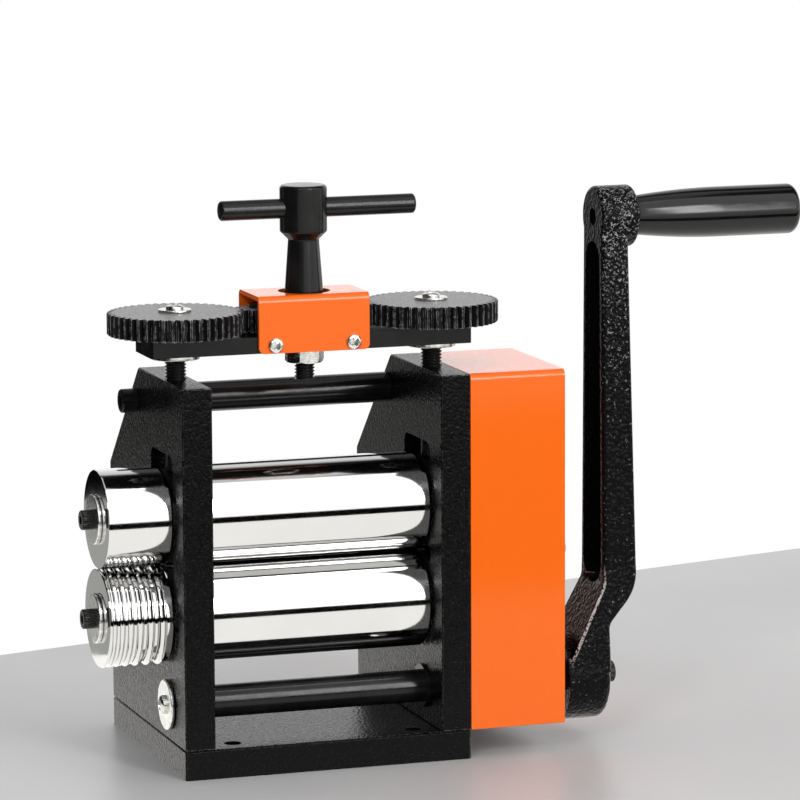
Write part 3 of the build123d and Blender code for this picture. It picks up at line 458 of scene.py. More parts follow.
def coil_tree():
    """A coil of round wire that stands on its lower end."""
    tree = tree_with("Coil spring", [
        ("Radius", "Float"), ("Height", "Float"), ("Turns", "Float"), ("Wire", "Float"),
        ("Material", "Material"),
    ])
    given = tree.nodes.new("NodeGroupInput").outputs
    spiral = add(tree, "GeometryNodeCurveSpiral", {
        "Resolution": 28, "Rotations": given["Turns"], "Start Radius": given["Radius"],
        "End Radius": given["Radius"], "Height": given["Height"]})
    wire = add(tree, "GeometryNodeCurvePrimitiveCircle",
               {"Resolution": 12, "Radius": given["Wire"]})
    swept = add(tree, "GeometryNodeCurveToMesh",
                {"Curve": spiral.outputs[0], "Profile Curve": wire.outputs[0],
                 "Fill Caps": True})
    end_with(tree, swept.outputs[0], given["Material"])
    return tree


def through(tree, mesh, values):
    """The mesh that a geometry tree makes of a mesh, with its inputs set by identifier."""
    piece = linked("work", mesh)
    modifier = piece.modifiers.new("nodes", "NODES")
    modifier.node_group = tree
    for item in tree.interface.items_tree:
        if item.in_out == "INPUT" and item.name in values:
            modifier[item.identifier] = values[item.name]
    return evaluated(piece)


def copies(mesh, slot, ring=1, row=1, step=(0.0, 0.0, 0.0), weld=0.0):
    """The mesh copied along a row and round Z, in a slot's finish."""
    tree = bpy.data.node_groups.get("Rows and rings") or copies_tree()
    return through(tree, mesh, {
        "Row count": row, "Row step": step, "Ring count": ring, "Weld": weld,
        "Material": finish(slot)})


# ---------------------------------------------------------------- cutting and closing


def cut(mesh, cutters):
    """The mesh with each cutter's space taken out of it."""
    piece = linked("work", mesh)
    tools = [linked("cutter", cutter) for cutter in cutters]
    for tool in tools:
        modifier = piece.modifiers.new("cut", "BOOLEAN")
        modifier.operation = "DIFFERENCE"
        modifier.solver = "EXACT"
        modifier.object = tool
    result = evaluated(piece)
    for tool in tools:
        bpy.data.objects.remove(tool)
    return result


def welded_copy(node):
    """A CAD node's mesh with its seams closed and its flat faces joined."""
    bm = bmesh.new()
    bm.from_mesh(frame["nodes"][node].data)
    bmesh.ops.remove_doubles(bm, verts=bm.verts, dist=2e-6)
    bmesh.ops.dissolve_limit(bm, angle_limit=math.radians(0.5), verts=bm.verts,
                             edges=bm.edges)
    mesh = bpy.data.meshes.new("work")
    bm.to_mesh(mesh)
    bm.free()
    return mesh


def show(name, meshes, *nodes, smooth=38.0):
    """One piece made of meshes, which stands for CAD nodes and wears their finish."""
    mesh = merged(meshes)
    mesh.materials.clear()
    mesh.shade_smooth()
    mesh.set_sharp_from_angle(angle=math.radians(smooth))
    piece = linked("work", mesh)
    weighted = piece.modifiers.new("normals", "WEIGHTED_NORMAL")
    weighted.keep_sharp = True
    mesh = evaluated(piece)
    mesh.name = name
    piece = linked(name, mesh)
    slot = SLOT_OF[nodes[0]]
    mesh.materials.clear()
    mesh.materials.append(finish(slot))
    mesh.polygons.foreach_set("material_index", [0] * len(mesh.polygons))
    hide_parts(*nodes)
    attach(piece, BODY_OF[nodes[0]])
    return piece


def show_welded(*nodes):
    """Detailed copies of CAD nodes whose shape is right."""
    for node in nodes:
        show(node + "_shell", [welded_copy(node)], node)


# ---------------------------------------------------------------- finishes


class Finish:
    """A material whose nodes are added by short calls; scales are per metre."""

    def __init__(self, name, base, metallic, roughness, specular=0.5):
        self.material = bpy.data.materials.new(name)
        self.material.use_nodes = True
        self.tree = self.material.node_tree
        self.shader = self.tree.nodes["Principled BSDF"]
        self.set("Base Color", (*base, 1.0))
        self.set("Metallic", metallic)
        self.set("Roughness", roughness)
        self.set("Specular IOR Level", specular)
        self.where = self.tree.nodes.new("ShaderNodeTexCoord").outputs["Object"]

    def set(self, socket, value):
        """Give the shader's socket a constant or link it."""
        target = self.shader.inputs[socket]
        if isinstance(value, bpy.types.NodeSocket):
            self.tree.links.new(value, target)
        else:
            target.default_value = value

    def stretched(self, x, y, z):
        """Object coordinates with their own scale along each axis."""
        node = add(self.tree, "ShaderNodeMapping", {"Vector": self.where, "Scale": (x, y, z)})
        return node.outputs[0]

    def noise(self, scale, detail=2.0, vector=None):
        """Soft noise round 0.5."""
        node = add(self.tree, "ShaderNodeTexNoise",
                   {"Vector": vector or self.where, "Scale": scale, "Detail": detail})
        return node.outputs[0]

    def cells(self, scale, feature="SMOOTH_F1"):
        """Distance inside cells, for pebbles and webs."""
        node = add(self.tree, "ShaderNodeTexVoronoi", {"Vector": self.where, "Scale": scale},
                   feature=feature)
        return node.outputs["Distance"]

    def spread(self, value, start, end, low=0.0, high=1.0):
        """The value from start to end, laid out from low to high."""
        node = add(self.tree, "ShaderNodeMapRange",
                   {0: value, 1: start, 2: end, 3: low, 4: high})
        return node.outputs[0]

    def mix(self, share, first, second):
        """A colour between two colours, each a tuple or a socket."""
        colours = [side if isinstance(side, bpy.types.NodeSocket) else (*side, 1.0)
                   for side in (first, second)]
        node = add(self.tree, "ShaderNodeMix", {0: share, 6: colours[0], 7: colours[1]},
                   data_type="RGBA")
        return node.outputs[2]

    def sum(self, first, second, share):
        """The first value and a share of the second."""
        scaled = add(self.tree, "ShaderNodeMath", {0: second, 1: share, 2: first},
                     operation="MULTIPLY_ADD")
        return scaled.outputs[0]

    def times(self, first, second):
        """Product of two values."""
        node = add(self.tree, "ShaderNodeMath", {0: first, 1: second}, operation="MULTIPLY")
        return node.outputs[0]

    def facing(self, x, y, z):
        """Cosine between the piece's own normal and a direction."""
        normal = self.tree.nodes.new("ShaderNodeTexCoord").outputs["Normal"]
        match = add(self.tree, "ShaderNodeVectorMath", {0: normal, 1: (x, y, z)},
                    operation="DOT_PRODUCT")
        return match.outputs["Value"]

    def bump(self, height, strength, distance):
        """Relief of the finish, its distance in metres."""
        node = add(self.tree, "ShaderNodeBump",
                   {"Height": height, "Strength": strength, "Distance": distance})
        self.set("Normal", node.outputs[0])

    def rims(self, radius):
        """1 along convex edges and 0 on flat faces."""
        rounded = add(self.tree, "ShaderNodeBevel", {"Radius": radius}, samples=4)
        true = self.tree.nodes.new("ShaderNodeNewGeometry").outputs["True Normal"]
        match = add(self.tree, "ShaderNodeVectorMath",
                    {0: rounded.outputs[0], 1: true}, operation="DOT_PRODUCT")
        return self.spread(match.outputs["Value"], 0.97, 0.80)


def scaled(base, factor):
    """A colour made lighter or darker."""
    return tuple(min(1.0, part * factor) for part in base)


def powder_coat(name, base):
    """Fine pebbled powder coat with bright flecks that are painted glints, scuffed along the
    edges.
    """
    look = Finish(name, base, 0.0, 0.24, 0.08)
    grain = look.noise(760.0, 2.0)
    # Bright flecks are painted glints: where the noise is high, the coat's colour is raised
    # eightfold.
    glint_noise = look.noise(1300.0, 1.0)
    glint_flecked = look.mix(look.spread(glint_noise, 0.60, 0.80), base, scaled(base, 8.0))
    rims = look.times(look.rims(0.0004), look.spread(grain, 0.40, 0.60))
    look.set("Base Color", look.mix(rims, glint_flecked, (0.16, 0.16, 0.16)))
    look.set("Roughness", look.spread(grain, 0.3, 0.7, 0.16, 0.32))
    look.bump(look.sum(grain, look.cells(800.0), 0.4), 0.9, 0.00028)
    return look


def enamel(name, base):
    """Orange stove enamel with a faint peel, thin and brown along the sheet's edges."""
    look = Finish(name, base, 0.0, 0.34, 0.06)
    peel = look.noise(420.0, 2.0)
    look.set("Base Color", look.mix(look.rims(0.00035), base, (0.42, 0.075, 0.012)))
    look.set("Roughness", look.spread(peel, 0.3, 0.7, 0.28, 0.40))
    look.set("Coat Weight", 1.0)
    look.set("Coat Roughness", 0.10)
    look.set("Coat IOR", 1.29)
    look.bump(peel, 0.12, 0.0002)
    return look


def chrome(name, base):
    """Ground and polished steel with hair lines round the axis."""
    look = Finish(name, base, 1.0, 0.06)
    lines = look.noise(1.0, 2.0, look.stretched(5200.0, 45.0, 45.0))
    smear = look.noise(35.0, 2.0)
    look.set("Base Color", look.mix(look.spread(smear, 0.3, 0.7), scaled(base, 0.95), base))
    look.set("Roughness", look.spread(look.sum(lines, smear, 0.6), 0.5, 1.1, 0.035, 0.115))
    look.bump(lines, 0.05, 0.00002)
    return look


def black_oxide(name, base):
    """Turned steel under oiled black oxide."""
    look = Finish(name, base, 0.0, 0.2, 0.20)
    lines = look.noise(1300.0, 2.0)
    rub = look.noise(90.0, 3.0)
    look.set("Base Color", look.mix(look.spread(rub, 0.45, 0.75), base, scaled(base, 2.0)))
    look.set("Roughness", look.spread(look.sum(lines, rub, 0.8), 0.6, 1.2, 0.13, 0.27))
    look.bump(lines, 0.12, 0.00008)
    return look


def gear_steel(name, base):
    """Black gear steel with a painted sheen on its upper faces; its bright edges are partly
    scuffed steel, partly a painted highlight.
    """
    look = Finish(name, base, 0.0, 0.30, 0.12)
    grain = look.noise(1500.0, 3.0)
    # Bright edges, partly scuffed bare steel and partly a painted highlight, broken up by a
    # noise.
    edge_wear_and_highlight = look.noise(500.0, 2.0)
    rims = look.times(look.rims(0.0004), look.spread(edge_wear_and_highlight, 0.42, 0.58))
    # Painted sheen: faces turned up are made lighter grey, standing for the reflection they
    # catch.
    top_sheen = look.mix(look.spread(look.noise(1800.0, 2.0), 0.40, 0.62),
                     (0.130, 0.130, 0.130), (0.30, 0.30, 0.30))
    with_top_sheen = look.mix(look.spread(look.facing(0.0, 0.0, 1.0), 0.97, 0.99), base, top_sheen)
    look.set("Base Color", look.mix(rims, with_top_sheen, (0.70, 0.70, 0.71)))
    look.set("Roughness", look.spread(grain, 0.3, 0.7, 0.26, 0.44))
    look.bump(grain, 0.5, 0.00015)
    return look


def zinc_plate(name, base):
    """Bright zinc, mottled and scratched by tumbling."""
    look = Finish(name, base, 1.0, 0.24)
    grain = look.noise(1400.0, 3.0)
    cloud = look.noise(420.0, 3.0)
    look.set("Base Color", look.mix(look.spread(cloud, 0.35, 0.65), scaled(base, 0.66), base))
    look.set("Roughness", look.spread(look.sum(grain, cloud, 0.7), 0.5, 1.2, 0.12, 0.36))
    look.bump(grain, 0.15, 0.0001)
    return look


def bearing_bronze(name, base):
    """Oiled sintered bronze."""
    look = Finish(name, base, 1.0, 0.33)
    pores = look.cells(3000.0)
    look.set("Base Color", look.mix(look.spread(pores, 0.1, 0.6), scaled(base, 0.55), base))
    look.set("Roughness", look.spread(pores, 0.1, 0.6, 0.5, 0.26))
    look.bump(pores, 0.2, 0.00005)
    return look


def block_steel(name, base):
    """Milled steel blocks under a thin black finish."""
    look = Finish(name, scaled(base, 1.4), 0.7, 0.36)
    lines = look.noise(1.0, 2.0, look.stretched(300.0, 2600.0, 300.0))
    look.set("Base Color", look.mix(look.spread(lines, 0.3, 0.7), base, scaled(base, 2.2)))
    look.set("Roughness", look.spread(lines, 0.3, 0.7, 0.28, 0.44))
    look.bump(lines, 0.15, 0.00005)
    return look


def spring_steel(name, base):
    """Bright drawn wire."""
    look = Finish(name, scaled(base, 0.7), 1.0, 0.28)
    lines = look.noise(1800.0, 2.0)
    look.set("Roughness", look.spread(lines, 0.3, 0.7, 0.2, 0.36))
    look.bump(lines, 0.1, 0.00004)
    return look


def hammered(name, base):
    """Glossy black paint over a pitted casting, with painted glints denser towards the top and
    a painted highlight along its ridge.
    """
    look = Finish(name, base, 0.0, 0.15, 0.05)
    pebble = look.cells(560.0)
    web = look.spread(look.cells(800.0, "DISTANCE_TO_EDGE"), 0.14, 0.03)
    grain = look.noise(1500.0, 2.0)
    place = add(look.tree, "ShaderNodeSeparateXYZ", {0: look.where}).outputs
    height, line = place["Z"], middle("crank_arm").y
    # Painted glints: bright specks on faces turned to the front and up, denser towards the top,
    # kept off the pocket's rear wall.
    glint_rise = look.spread(height, 0.15, 0.23, 0.0, 0.15)
    glints = look.spread(look.sum(look.noise(700.0, 2.0), glint_rise, 1.0), 0.63, 0.80)
    glints = look.times(look.times(web, glints), look.spread(place["Y"], line, line - MM))
    glints = look.times(glints, look.spread(look.facing(0.0, -0.8, 0.6), 0.25, 0.6))
    # Painted highlight: a broken bright line on the ridge between the hub and the arm.
    ridge = look.spread(look.facing(-0.633, -0.707, 0.315), 0.92, 0.97)
    above_hub = look.spread(height, 0.036, 0.044)
    below_arm = look.spread(height, 0.084, 0.076)
    highlight_gaps = look.spread(look.noise(900.0, 2.0), 0.40, 0.52)
    edge_wear_and_highlight = look.times(look.times(ridge, highlight_gaps), look.times(above_hub, below_arm))
    glint_speckled = look.mix(glints, base, (0.40, 0.40, 0.41))
    look.set("Base Color", look.mix(edge_wear_and_highlight, glint_speckled, (0.55, 0.55, 0.55)))
    look.set("Roughness", look.spread(grain, 0.3, 0.7, 0.10, 0.20))
    look.bump(look.sum(pebble, grain, 0.35), 0.8, 0.0007)
    return look


def gloss_grip(name, base):
    """Polished black plastic with hairline scuffs."""
    look = Finish(name, base, 0.0, 0.13, 0.32)
    scuffs = look.noise(1.0, 3.0, look.stretched(90.0, 900.0, 900.0))
    look.set("Roughness", look.spread(scuffs, 0.35, 0.75, 0.10, 0.20))
    look.bump(look.noise(70.0, 1.0), 0.02, 0.0002)
    return look


FINISHES = {
    "black_powder_coat": (powder_coat, "coat", "Pebbled powder coat"),
    "orange_enamel": (enamel, "enamel", "Stove enamel"),
    "chromed_steel": (chrome, "chrome", "Polished roller steel"),
    "black_oxide": (black_oxide, "oxide", "Oiled black oxide"),
    "black_gear_steel": (gear_steel, "gear", "Rubbed gear steel"),
    "zinc_plate": (zinc_plate, "zinc", "Tumbled zinc"),
    "bearing_bronze": (bearing_bronze, "bronze", "Oiled bronze"),
    "block_steel": (block_steel, "oxide", "Milled block steel"),
    "spring_steel": (spring_steel, "zinc", "Drawn spring wire"),
    "hammered_black_casting": (hammered, "casting", "Hammered casting paint"),
    "gloss_black_grip": (gloss_grip, "grip", "Polished grip"),
}


def finish(slot):
    """The material of a record slot, made when it is first asked for."""
    maker, base, name = FINISHES[slot]
    if name not in bpy.data.materials:
        maker(name, tuple(getattr(settings().colours, base)))
    return bpy.data.materials[name]


# ---------------------------------------------------------------- fasteners


def cross_head(radius, height, shank, depth):
    """A pan head screw with a cross recess, its bearing face at zero on Z."""
    dome = [
        (radius * math.cos(t), height * (0.4 + 0.6 * math.sin(t)))
        for t in [math.radians(a) for a in range(0, 90, 10)]
    ]
    profile = [(0.0, -depth), (shank, -depth), (shank, 0.0), (radius, 0.0)]
    head = lathe(profile + dome + [(0.0, height)], 64)
    arm, width, floor = 0.70 * radius, 0.23 * radius, -0.5 * height
    cutters = []
    for long, short in ((arm, width), (width, arm)):
        low = [(s * long * 0.5 if long > short else s * long * 0.7,
                t * short * 0.5 if short > long else t * short * 0.7, floor)
               for s, t in ((-1, -1), (1, -1), (1, 1), (-1, 1))]
        top = [(s * long, t * short, height * 1.5)
               for s, t in ((-1, -1), (1, -1), (1, 1), (-1, 1))]
        faces = [(3, 2, 1, 0), (4, 5, 6, 7)]
        faces += [(k, (k + 1) % 4, 4 + (k + 1) % 4, 4 + k) for k in range(4)]
        cutters.append(mesh_of(low + top, faces))
    return cut(head, cutters)


def socket_head(radius, height, across, shank, depth, slot):
    """A socket head screw with a knurled head, its bearing face at zero on Z."""
    sizes = settings().sizes
    count = sizes.knurls
    gap = math.pi / count
    low = radius - 0.035 * radius
    rib = [(low, -gap), (radius, -0.45 * gap), (radius, 0.45 * gap), (low, gap)]
    bevel = 0.09 * radius
    levels = [(0.0, radius - bevel / 2), (bevel / 2, radius), (height - bevel, radius),
              (height, radius - bevel)]
    head = copies(wedge(rib, levels), slot, ring=count, weld=1e-6)
    hexagon = across / math.sqrt(3)
    floor = 0.45 * height
    socket = lathe([(0.0, floor - 0.3 * hexagon), (hexagon, floor), (hexagon, 1.5 * height),
                    (0.0, 1.5 * height)], 6)
    stem = lathe([(0.0, -depth), (shank, -depth), (shank, 0.3 * floor),
                  (0.0, 0.3 * floor)], 48)
    return merged([cut(head, [socket]), stem])


# ---------------------------------------------------------------- operators


class MILL_OT_frame(bpy.types.Operator):
    """Base plate, side frames, bearing blocks and bushes"""

    bl_idname = "mill.frame"
    bl_label = "Frame"

    def execute(self, context):
        show_welded("base_plate", "side_frame_left", "side_frame_right", "frame_screws",
                    "lower_block_left", "lower_block_right", "upper_block_left",
                    "upper_block_right", "lower_bushes", "upper_bushes", "shaft_bushes")
        return {"FINISHED"}


class MILL_OT_tie_bar(bpy.types.Operator):
    """Tie bar behind the rollers and its socket screws"""

    bl_idname = "mill.tie_bar"
    bl_label = "Tie bar"

    def execute(self, context):
        sizes = context.scene.mill.sizes
        start, end = span("tie_bar", 0)
        place = middle("tie_bar")
        radius = radius_of("tie_bar", 2)
        bar = eased([(0.0, start), (radius, start), (radius, end), (0.0, end)], sizes.rim)
        show("tie_bar_turned", [moved(lathe(bar), (0.0, place.y, place.z), "+X")], "tie_bar")
        left, right = span("tie_bar_screws", 0)
        faces = (span("side_frame_left", 0)[0], span("side_frame_right", 0)[1])
        head = radius_of("tie_bar_screws", 2)
        screws = [
            moved(socket_head(head, abs(tip - face), across=5 * MM, shank=2.9 * MM,
                              depth=20 * MM, slot="black_oxide"),
                  (face, place.y, place.z), axis)
            for tip, face, axis in ((left, faces[0], "-X"), (right, faces[1], "+X"))
        ]
        show("tie_bar_cap_screws", screws, "tie_bar_screws")
        return {"FINISHED"}


class MILL_OT_springs(bpy.types.Operator):
    """Four coiled return springs between the bearing blocks"""

    bl_idname = "mill.springs"
    bl_label = "Return springs"

    def execute(self, context):
        sizes = context.scene.mill.sizes
        low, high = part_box("return_springs")
        upper, lower = middle("upper_block_left"), middle("lower_block_left")
        shift = 12 * MM  # from the roller's axis to each spring
        outer = (high.y - low.y) / 2 - shift
        wire = sizes.spring_wire / 2
        coil = through(coil_tree(), mesh_of([(0.0, 0.0, 0.0)], []), {
            "Radius": outer - wire, "Height": high.z - low.z - 2 * wire,
            "Turns": float(sizes.spring_turns), "Wire": wire,
            "Material": finish("spring_steel")})
        coil.transform(Matrix.Translation((upper.x, lower.y - shift, low.z + wire)))
        pair = copies(coil, "spring_steel", row=2, step=(0.0, 2 * shift, 0.0))
        both = copies(pair, "spring_steel", row=2, step=(-2 * upper.x, 0.0, 0.0))
        piece = show("return_coils", [both], "return_springs")
        piece.parent = None
        del piece["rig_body"]
        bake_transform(piece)
        return {"FINISHED"}


class MILL_OT_cover(bpy.types.Operator):
    """Folded gear cover with its posts and screws"""

    bl_idname = "mill.cover"
    bl_label = "Gear cover"

    def execute(self, context):
        show_welded("gear_cover", "cover_posts")
        low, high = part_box("cover_screws")
        face = span("gear_cover", 0)[1]
        radius = (high.z - low.z) / 2
        screw = cross_head(radius, high.x - face, shank=1.9 * MM, depth=9 * MM)
        screw = moved(screw, (face, low.y + radius, middle("cover_screws").z), "+X",
                      math.radians(20))
        step = (0.0, high.y - low.y - 2 * radius, 0.0)
        show("cover_cross_screws", [copies(screw, "zinc_plate", row=2, step=step)],
             "cover_screws")
        return {"FINISHED"}


class MILL_OT_rollers(bpy.types.Operator):
    """Two polished working rollers with their journals"""

    bl_idname = "mill.rollers"
    bl_label = "Working rollers"

    def execute(self, context):
        sizes = context.scene.mill.sizes
        end_play = 0.6 * MM
        inner = span("side_frame_right", 0)[0] - end_play
        side = span("upper_side_roller", 0)[1]
        gear = span("upper_roller_gear", 0)[0]
        journal, stub = 10 * MM, 7 * MM
        for name in ("upper", "lower"):
            node = name + "_roller"
            start, end = span(node, 0)
            place = middle(node)
            radius, bevel = radius_of(node, 2), sizes.roller_chamfer
            shaft = [(0.0, start), (stub, start), (stub, side), (journal, side),
                     (journal, -inner)]
            body = [(radius - bevel, -inner), (radius, -inner + bevel),
                    (radius, inner - bevel), (radius - bevel, inner)]
            rest = [(journal, inner), (journal, gear), (stub, gear), (stub, end), (0.0, end)]
            profile = eased(shaft + body + rest, sizes.rim, 4)
            turned = moved(lathe(profile, 192), (0.0, place.y, place.z), "+X")
            show(node + "_turned", [turned], node)
        return {"FINISHED"}


class MILL_OT_side_rollers(bpy.types.Operator):
    """Plain and grooved rollers outside the left frame, with washers and screws"""

    bl_idname = "mill.side_rollers"
    bl_label = "Side rollers"

    def execute(self, context):
        sizes = context.scene.mill.sizes
        bore, bevel, arc_steps = 7.02 * MM, sizes.roller_chamfer, 14
        for name in ("upper", "lower"):
            node = name + "_side_roller"
            start, end = span(node, 0)
            place = middle(node)
            radius = radius_of(node, 2)
            edge = [(radius - bevel, start), (radius - 0.4 * bevel, start + 0.15 * bevel),
                    (radius, start + bevel)]
            if name == "lower":
                here = start + bevel + sizes.groove_end
                for width in sizes.groove_widths:
                    half = width * MM / 2
                    for step in range(arc_steps + 1):
                        angle = math.pi * step / arc_steps
                        edge.append((radius - half * math.sin(angle),
                                     here + half - half * math.cos(angle)))
                    here += 2 * half + sizes.groove_land
            edge += [(radius, end - bevel), (radius - bevel, end), (bore, end)]
            sleeve = lathe([(bore, start)] + edge, 192, ring=True)
            at = Vector((0.0, place.y, place.z))
            show(node + "_turned", [moved(sleeve, at, "+X")], node)
            self.fastener(sizes, name, "side", "-X")
            self.fastener(sizes, name, "gear", "+X")
        return {"FINISHED"}

    def fastener(self, sizes, name, end, axis):
        """The washer and socket screw at one end of a roller."""
        disc, screw = f"{name}_{end}_washer", f"{name}_{end}_screw"
        low, high = span(disc, 0)
        place = middle(disc)
        outward = 1 if axis == "+X" else -1
        seat, face = (low, high) if outward > 0 else (high, low)
        ring = washer(radius_of(disc, 2), bore=2.55 * MM, thickness=high - low,
                      rim=2 * sizes.rim)
        show(disc + "_turned", [moved(ring, (seat, place.y, place.z), axis)], disc)
        tip = span(screw, 0)[1 if outward > 0 else 0]
        cap = socket_head(radius_of(screw, 2), abs(tip - face), across=4 * MM,
                          shank=2.5 * MM, depth=12 * MM, slot="black_oxide")
        show(screw + "_cap", [moved(cap, (face, place.y, place.z), axis)], screw)


class MILL_OT_drive_gears(bpy.types.Operator):
    """Roller gears, driven gear and pinion inside the cover"""

    bl_idname = "mill.drive_gears"
    bl_label = "Drive gears"

    def execute(self, context):
        sizes = context.scene.mill.sizes
        distance = middle("upper_roller").z - middle("lower_roller").z
        teeth = sizes.roller_teeth
        module = distance / teeth
        outline = tooth(teeth, module, backlash=0.9 * MM, dedendum=1.32, undercut=0.35,
                        steps=5)
        for name, phase in (("lower", 90.0), ("upper", 270.0 + 180.0 / teeth)):
            self.gear(name + "_roller_gear", outline, teeth, 7.02 * MM, phase)
        down = middle("drive_shaft") - middle("lower_roller")
        line = math.degrees(math.atan2(-down.z, -down.y))
        module = sizes.drive_module
        pinion, large = 12, 29
        outline = tooth(pinion, module, sizes.drive_backlash, addendum=0.95, undercut=0.25)
        self.gear("drive_pinion", outline, pinion, 7.52 * MM, line)
        outline = tooth(large, module, sizes.drive_backlash, addendum=0.95)
        rim = large * module / 2 - 3 * module
        self.gear("driven_gear", outline, large, rim, line + 180.0 + 180.0 / large,
                  hub=13 * MM)
        return {"FINISHED"}

    def gear(self, node, outline, teeth, bore, phase, hub=0.0):
        """Phase is counted from +Y towards +Z, as seen along X."""
        sizes = bpy.context.scene.mill.sizes
        start, end = span(node, 0)
        place = middle(node)
        tip = max(radius for radius, angle in outline)
        bevel, step, web_sink = sizes.gear_chamfer, 2 * MM, 3 * MM
        if hub:
            start += step
        levels = [(0.0, tip - bevel), (bevel, tip), (end - start - bevel, tip),
                  (end - start, tip - bevel)]
        parts = [copies(wedge(outline, levels, bore), SLOT_OF[node], ring=teeth, weld=1e-6)]
        if hub:
            depth = end - start
            stub = 7.02 * MM
            web = [(stub, -step), (hub, -step), (hub, 0.0), (bore, 0.0),
                   (bore, depth - web_sink), (hub, depth - web_sink), (hub, depth),
                   (stub, depth)]
            parts.append(lathe(web, 96, ring=True))
        laid = Matrix(((0, 0, 1, start), (1, 0, 0, place.y), (0, 1, 0, place.z),
                       (0, 0, 0, 1)))
        turned = laid @ Matrix.Rotation(math.radians(phase), 4, "Z")
        for part in parts:
            part.transform(turned)
        show(node + "_cut", parts, node, smooth=30.0)


class MILL_OT_crank(bpy.types.Operator):
    """Drive shaft, cast crank with its fasteners, and the turning grip"""

    bl_idname = "mill.crank"
    bl_label = "Crank and grip"

    def execute(self, context):
        sizes = context.scene.mill.sizes
        shaft, radius = middle("drive_shaft"), radius_of("drive_shaft", 2)
        start, end = span("drive_shaft", 0)
        bar = eased([(0.0, start), (radius, start), (radius, end), (0.0, end)],
                    0.5 * MM, 2)
        show("drive_shaft_turned", [moved(lathe(bar), (0.0, shaft.y, shaft.z), "+X")],
             "drive_shaft")
        low, high = span("shaft_end_washer", 0)
        disc = washer(radius_of("shaft_end_washer", 2), bore=2.55 * MM,
                      thickness=high - low, rim=0.5 * MM)
        show("shaft_washer_turned", [moved(disc, (high, shaft.y, shaft.z), "-X")],
             "shaft_end_washer")
        screw = cross_head(radius_of("shaft_end_screw", 2), low - span("shaft_end_screw", 0)[0],
                           shank=2.4 * MM, depth=10 * MM)
        show("shaft_cross_screw",
             [moved(screw, (low, shaft.y, shaft.z), "-X", math.radians(25))],
             "shaft_end_screw")
        show_welded("crank_arm", "grip_bolt")
        low, high = span("crank_washer", 0)
        disc = washer(radius_of("crank_washer", 2), bore=3.05 * MM, thickness=high - low,
                      rim=sizes.rim)
        show("crank_washer_turned", [moved(disc, (low, shaft.y, shaft.z), "+X")],
             "crank_washer")
        cap = socket_head(radius_of("crank_screw", 2), span("crank_screw", 0)[1] - high,
                          across=5 * MM, shank=2.95 * MM, depth=14 * MM,
                          slot="black_oxide")
        show("crank_cap_screw", [moved(cap, (high, shaft.y, shaft.z), "+X")], "crank_screw")
        self.grip()
        return {"FINISHED"}

    def grip(self):
        """A grip that swells from the boss to a rounded end."""
        swell_steps, turn_steps = 24, 12
        start, end = span("handle_grip", 0)
        place = middle("handle_grip")
        outer = radius_of("handle_grip", 2)
        inner, turn = 8.8 * MM, 3.5 * MM
        swell, bulge = 42 * MM, 0.65 * MM
        profile = [(0.0, start), (inner - 0.8 * MM, start), (inner, start + 0.8 * MM)]
        for step in range(2, swell_steps + 1):
            share = step / swell_steps
            radius = inner + (outer - inner) * share + 4 * bulge * share * (1 - share)
            profile.append((min(radius, outer), start + swell * share))
        for step in range(turn_steps + 1):
            angle = math.pi / 2 * step / turn_steps
            profile.append((outer - turn + turn * math.cos(angle),
                            end - turn + turn * math.sin(angle)))
        profile.append((0.0, end))
        turned = moved(lathe(profile, 128), (0.0, place.y, place.z), "+X")
        show("handle_grip_turned", [turned], "handle_grip", smooth=60.0)


class MILL_OT_carrier(bpy.types.Operator):
    """Carrier bar, folded bracket, its screws and the idler pins"""

    bl_idname = "mill.carrier"
    bl_label = "Carrier and bracket"

    def execute(self, context):
        show_welded("carrier_bar", "pinion_bracket", "idler_pins")
        low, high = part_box("bracket_screws")
        front = span("pinion_bracket", 1)[0]
        radius = (high.z - low.z) / 2
        centre = middle("bracket_screws")
        spacing = high.x - low.x - 2 * radius
        screw = cross_head(radius, front - low.y, shank=1.7 * MM, depth=7 * MM)
        screw = moved(screw, (-spacing / 2, front - centre.y, 0.0), "-Y", math.radians(35))
        four = copies(screw, "zinc_plate", ring=2, row=2, step=(spacing, 0.0, 0.0))
        four.transform(Matrix.Translation((centre.x, centre.y, centre.z)))
        show("bracket_cross_screws", [four], "bracket_screws")
        return {"FINISHED"}


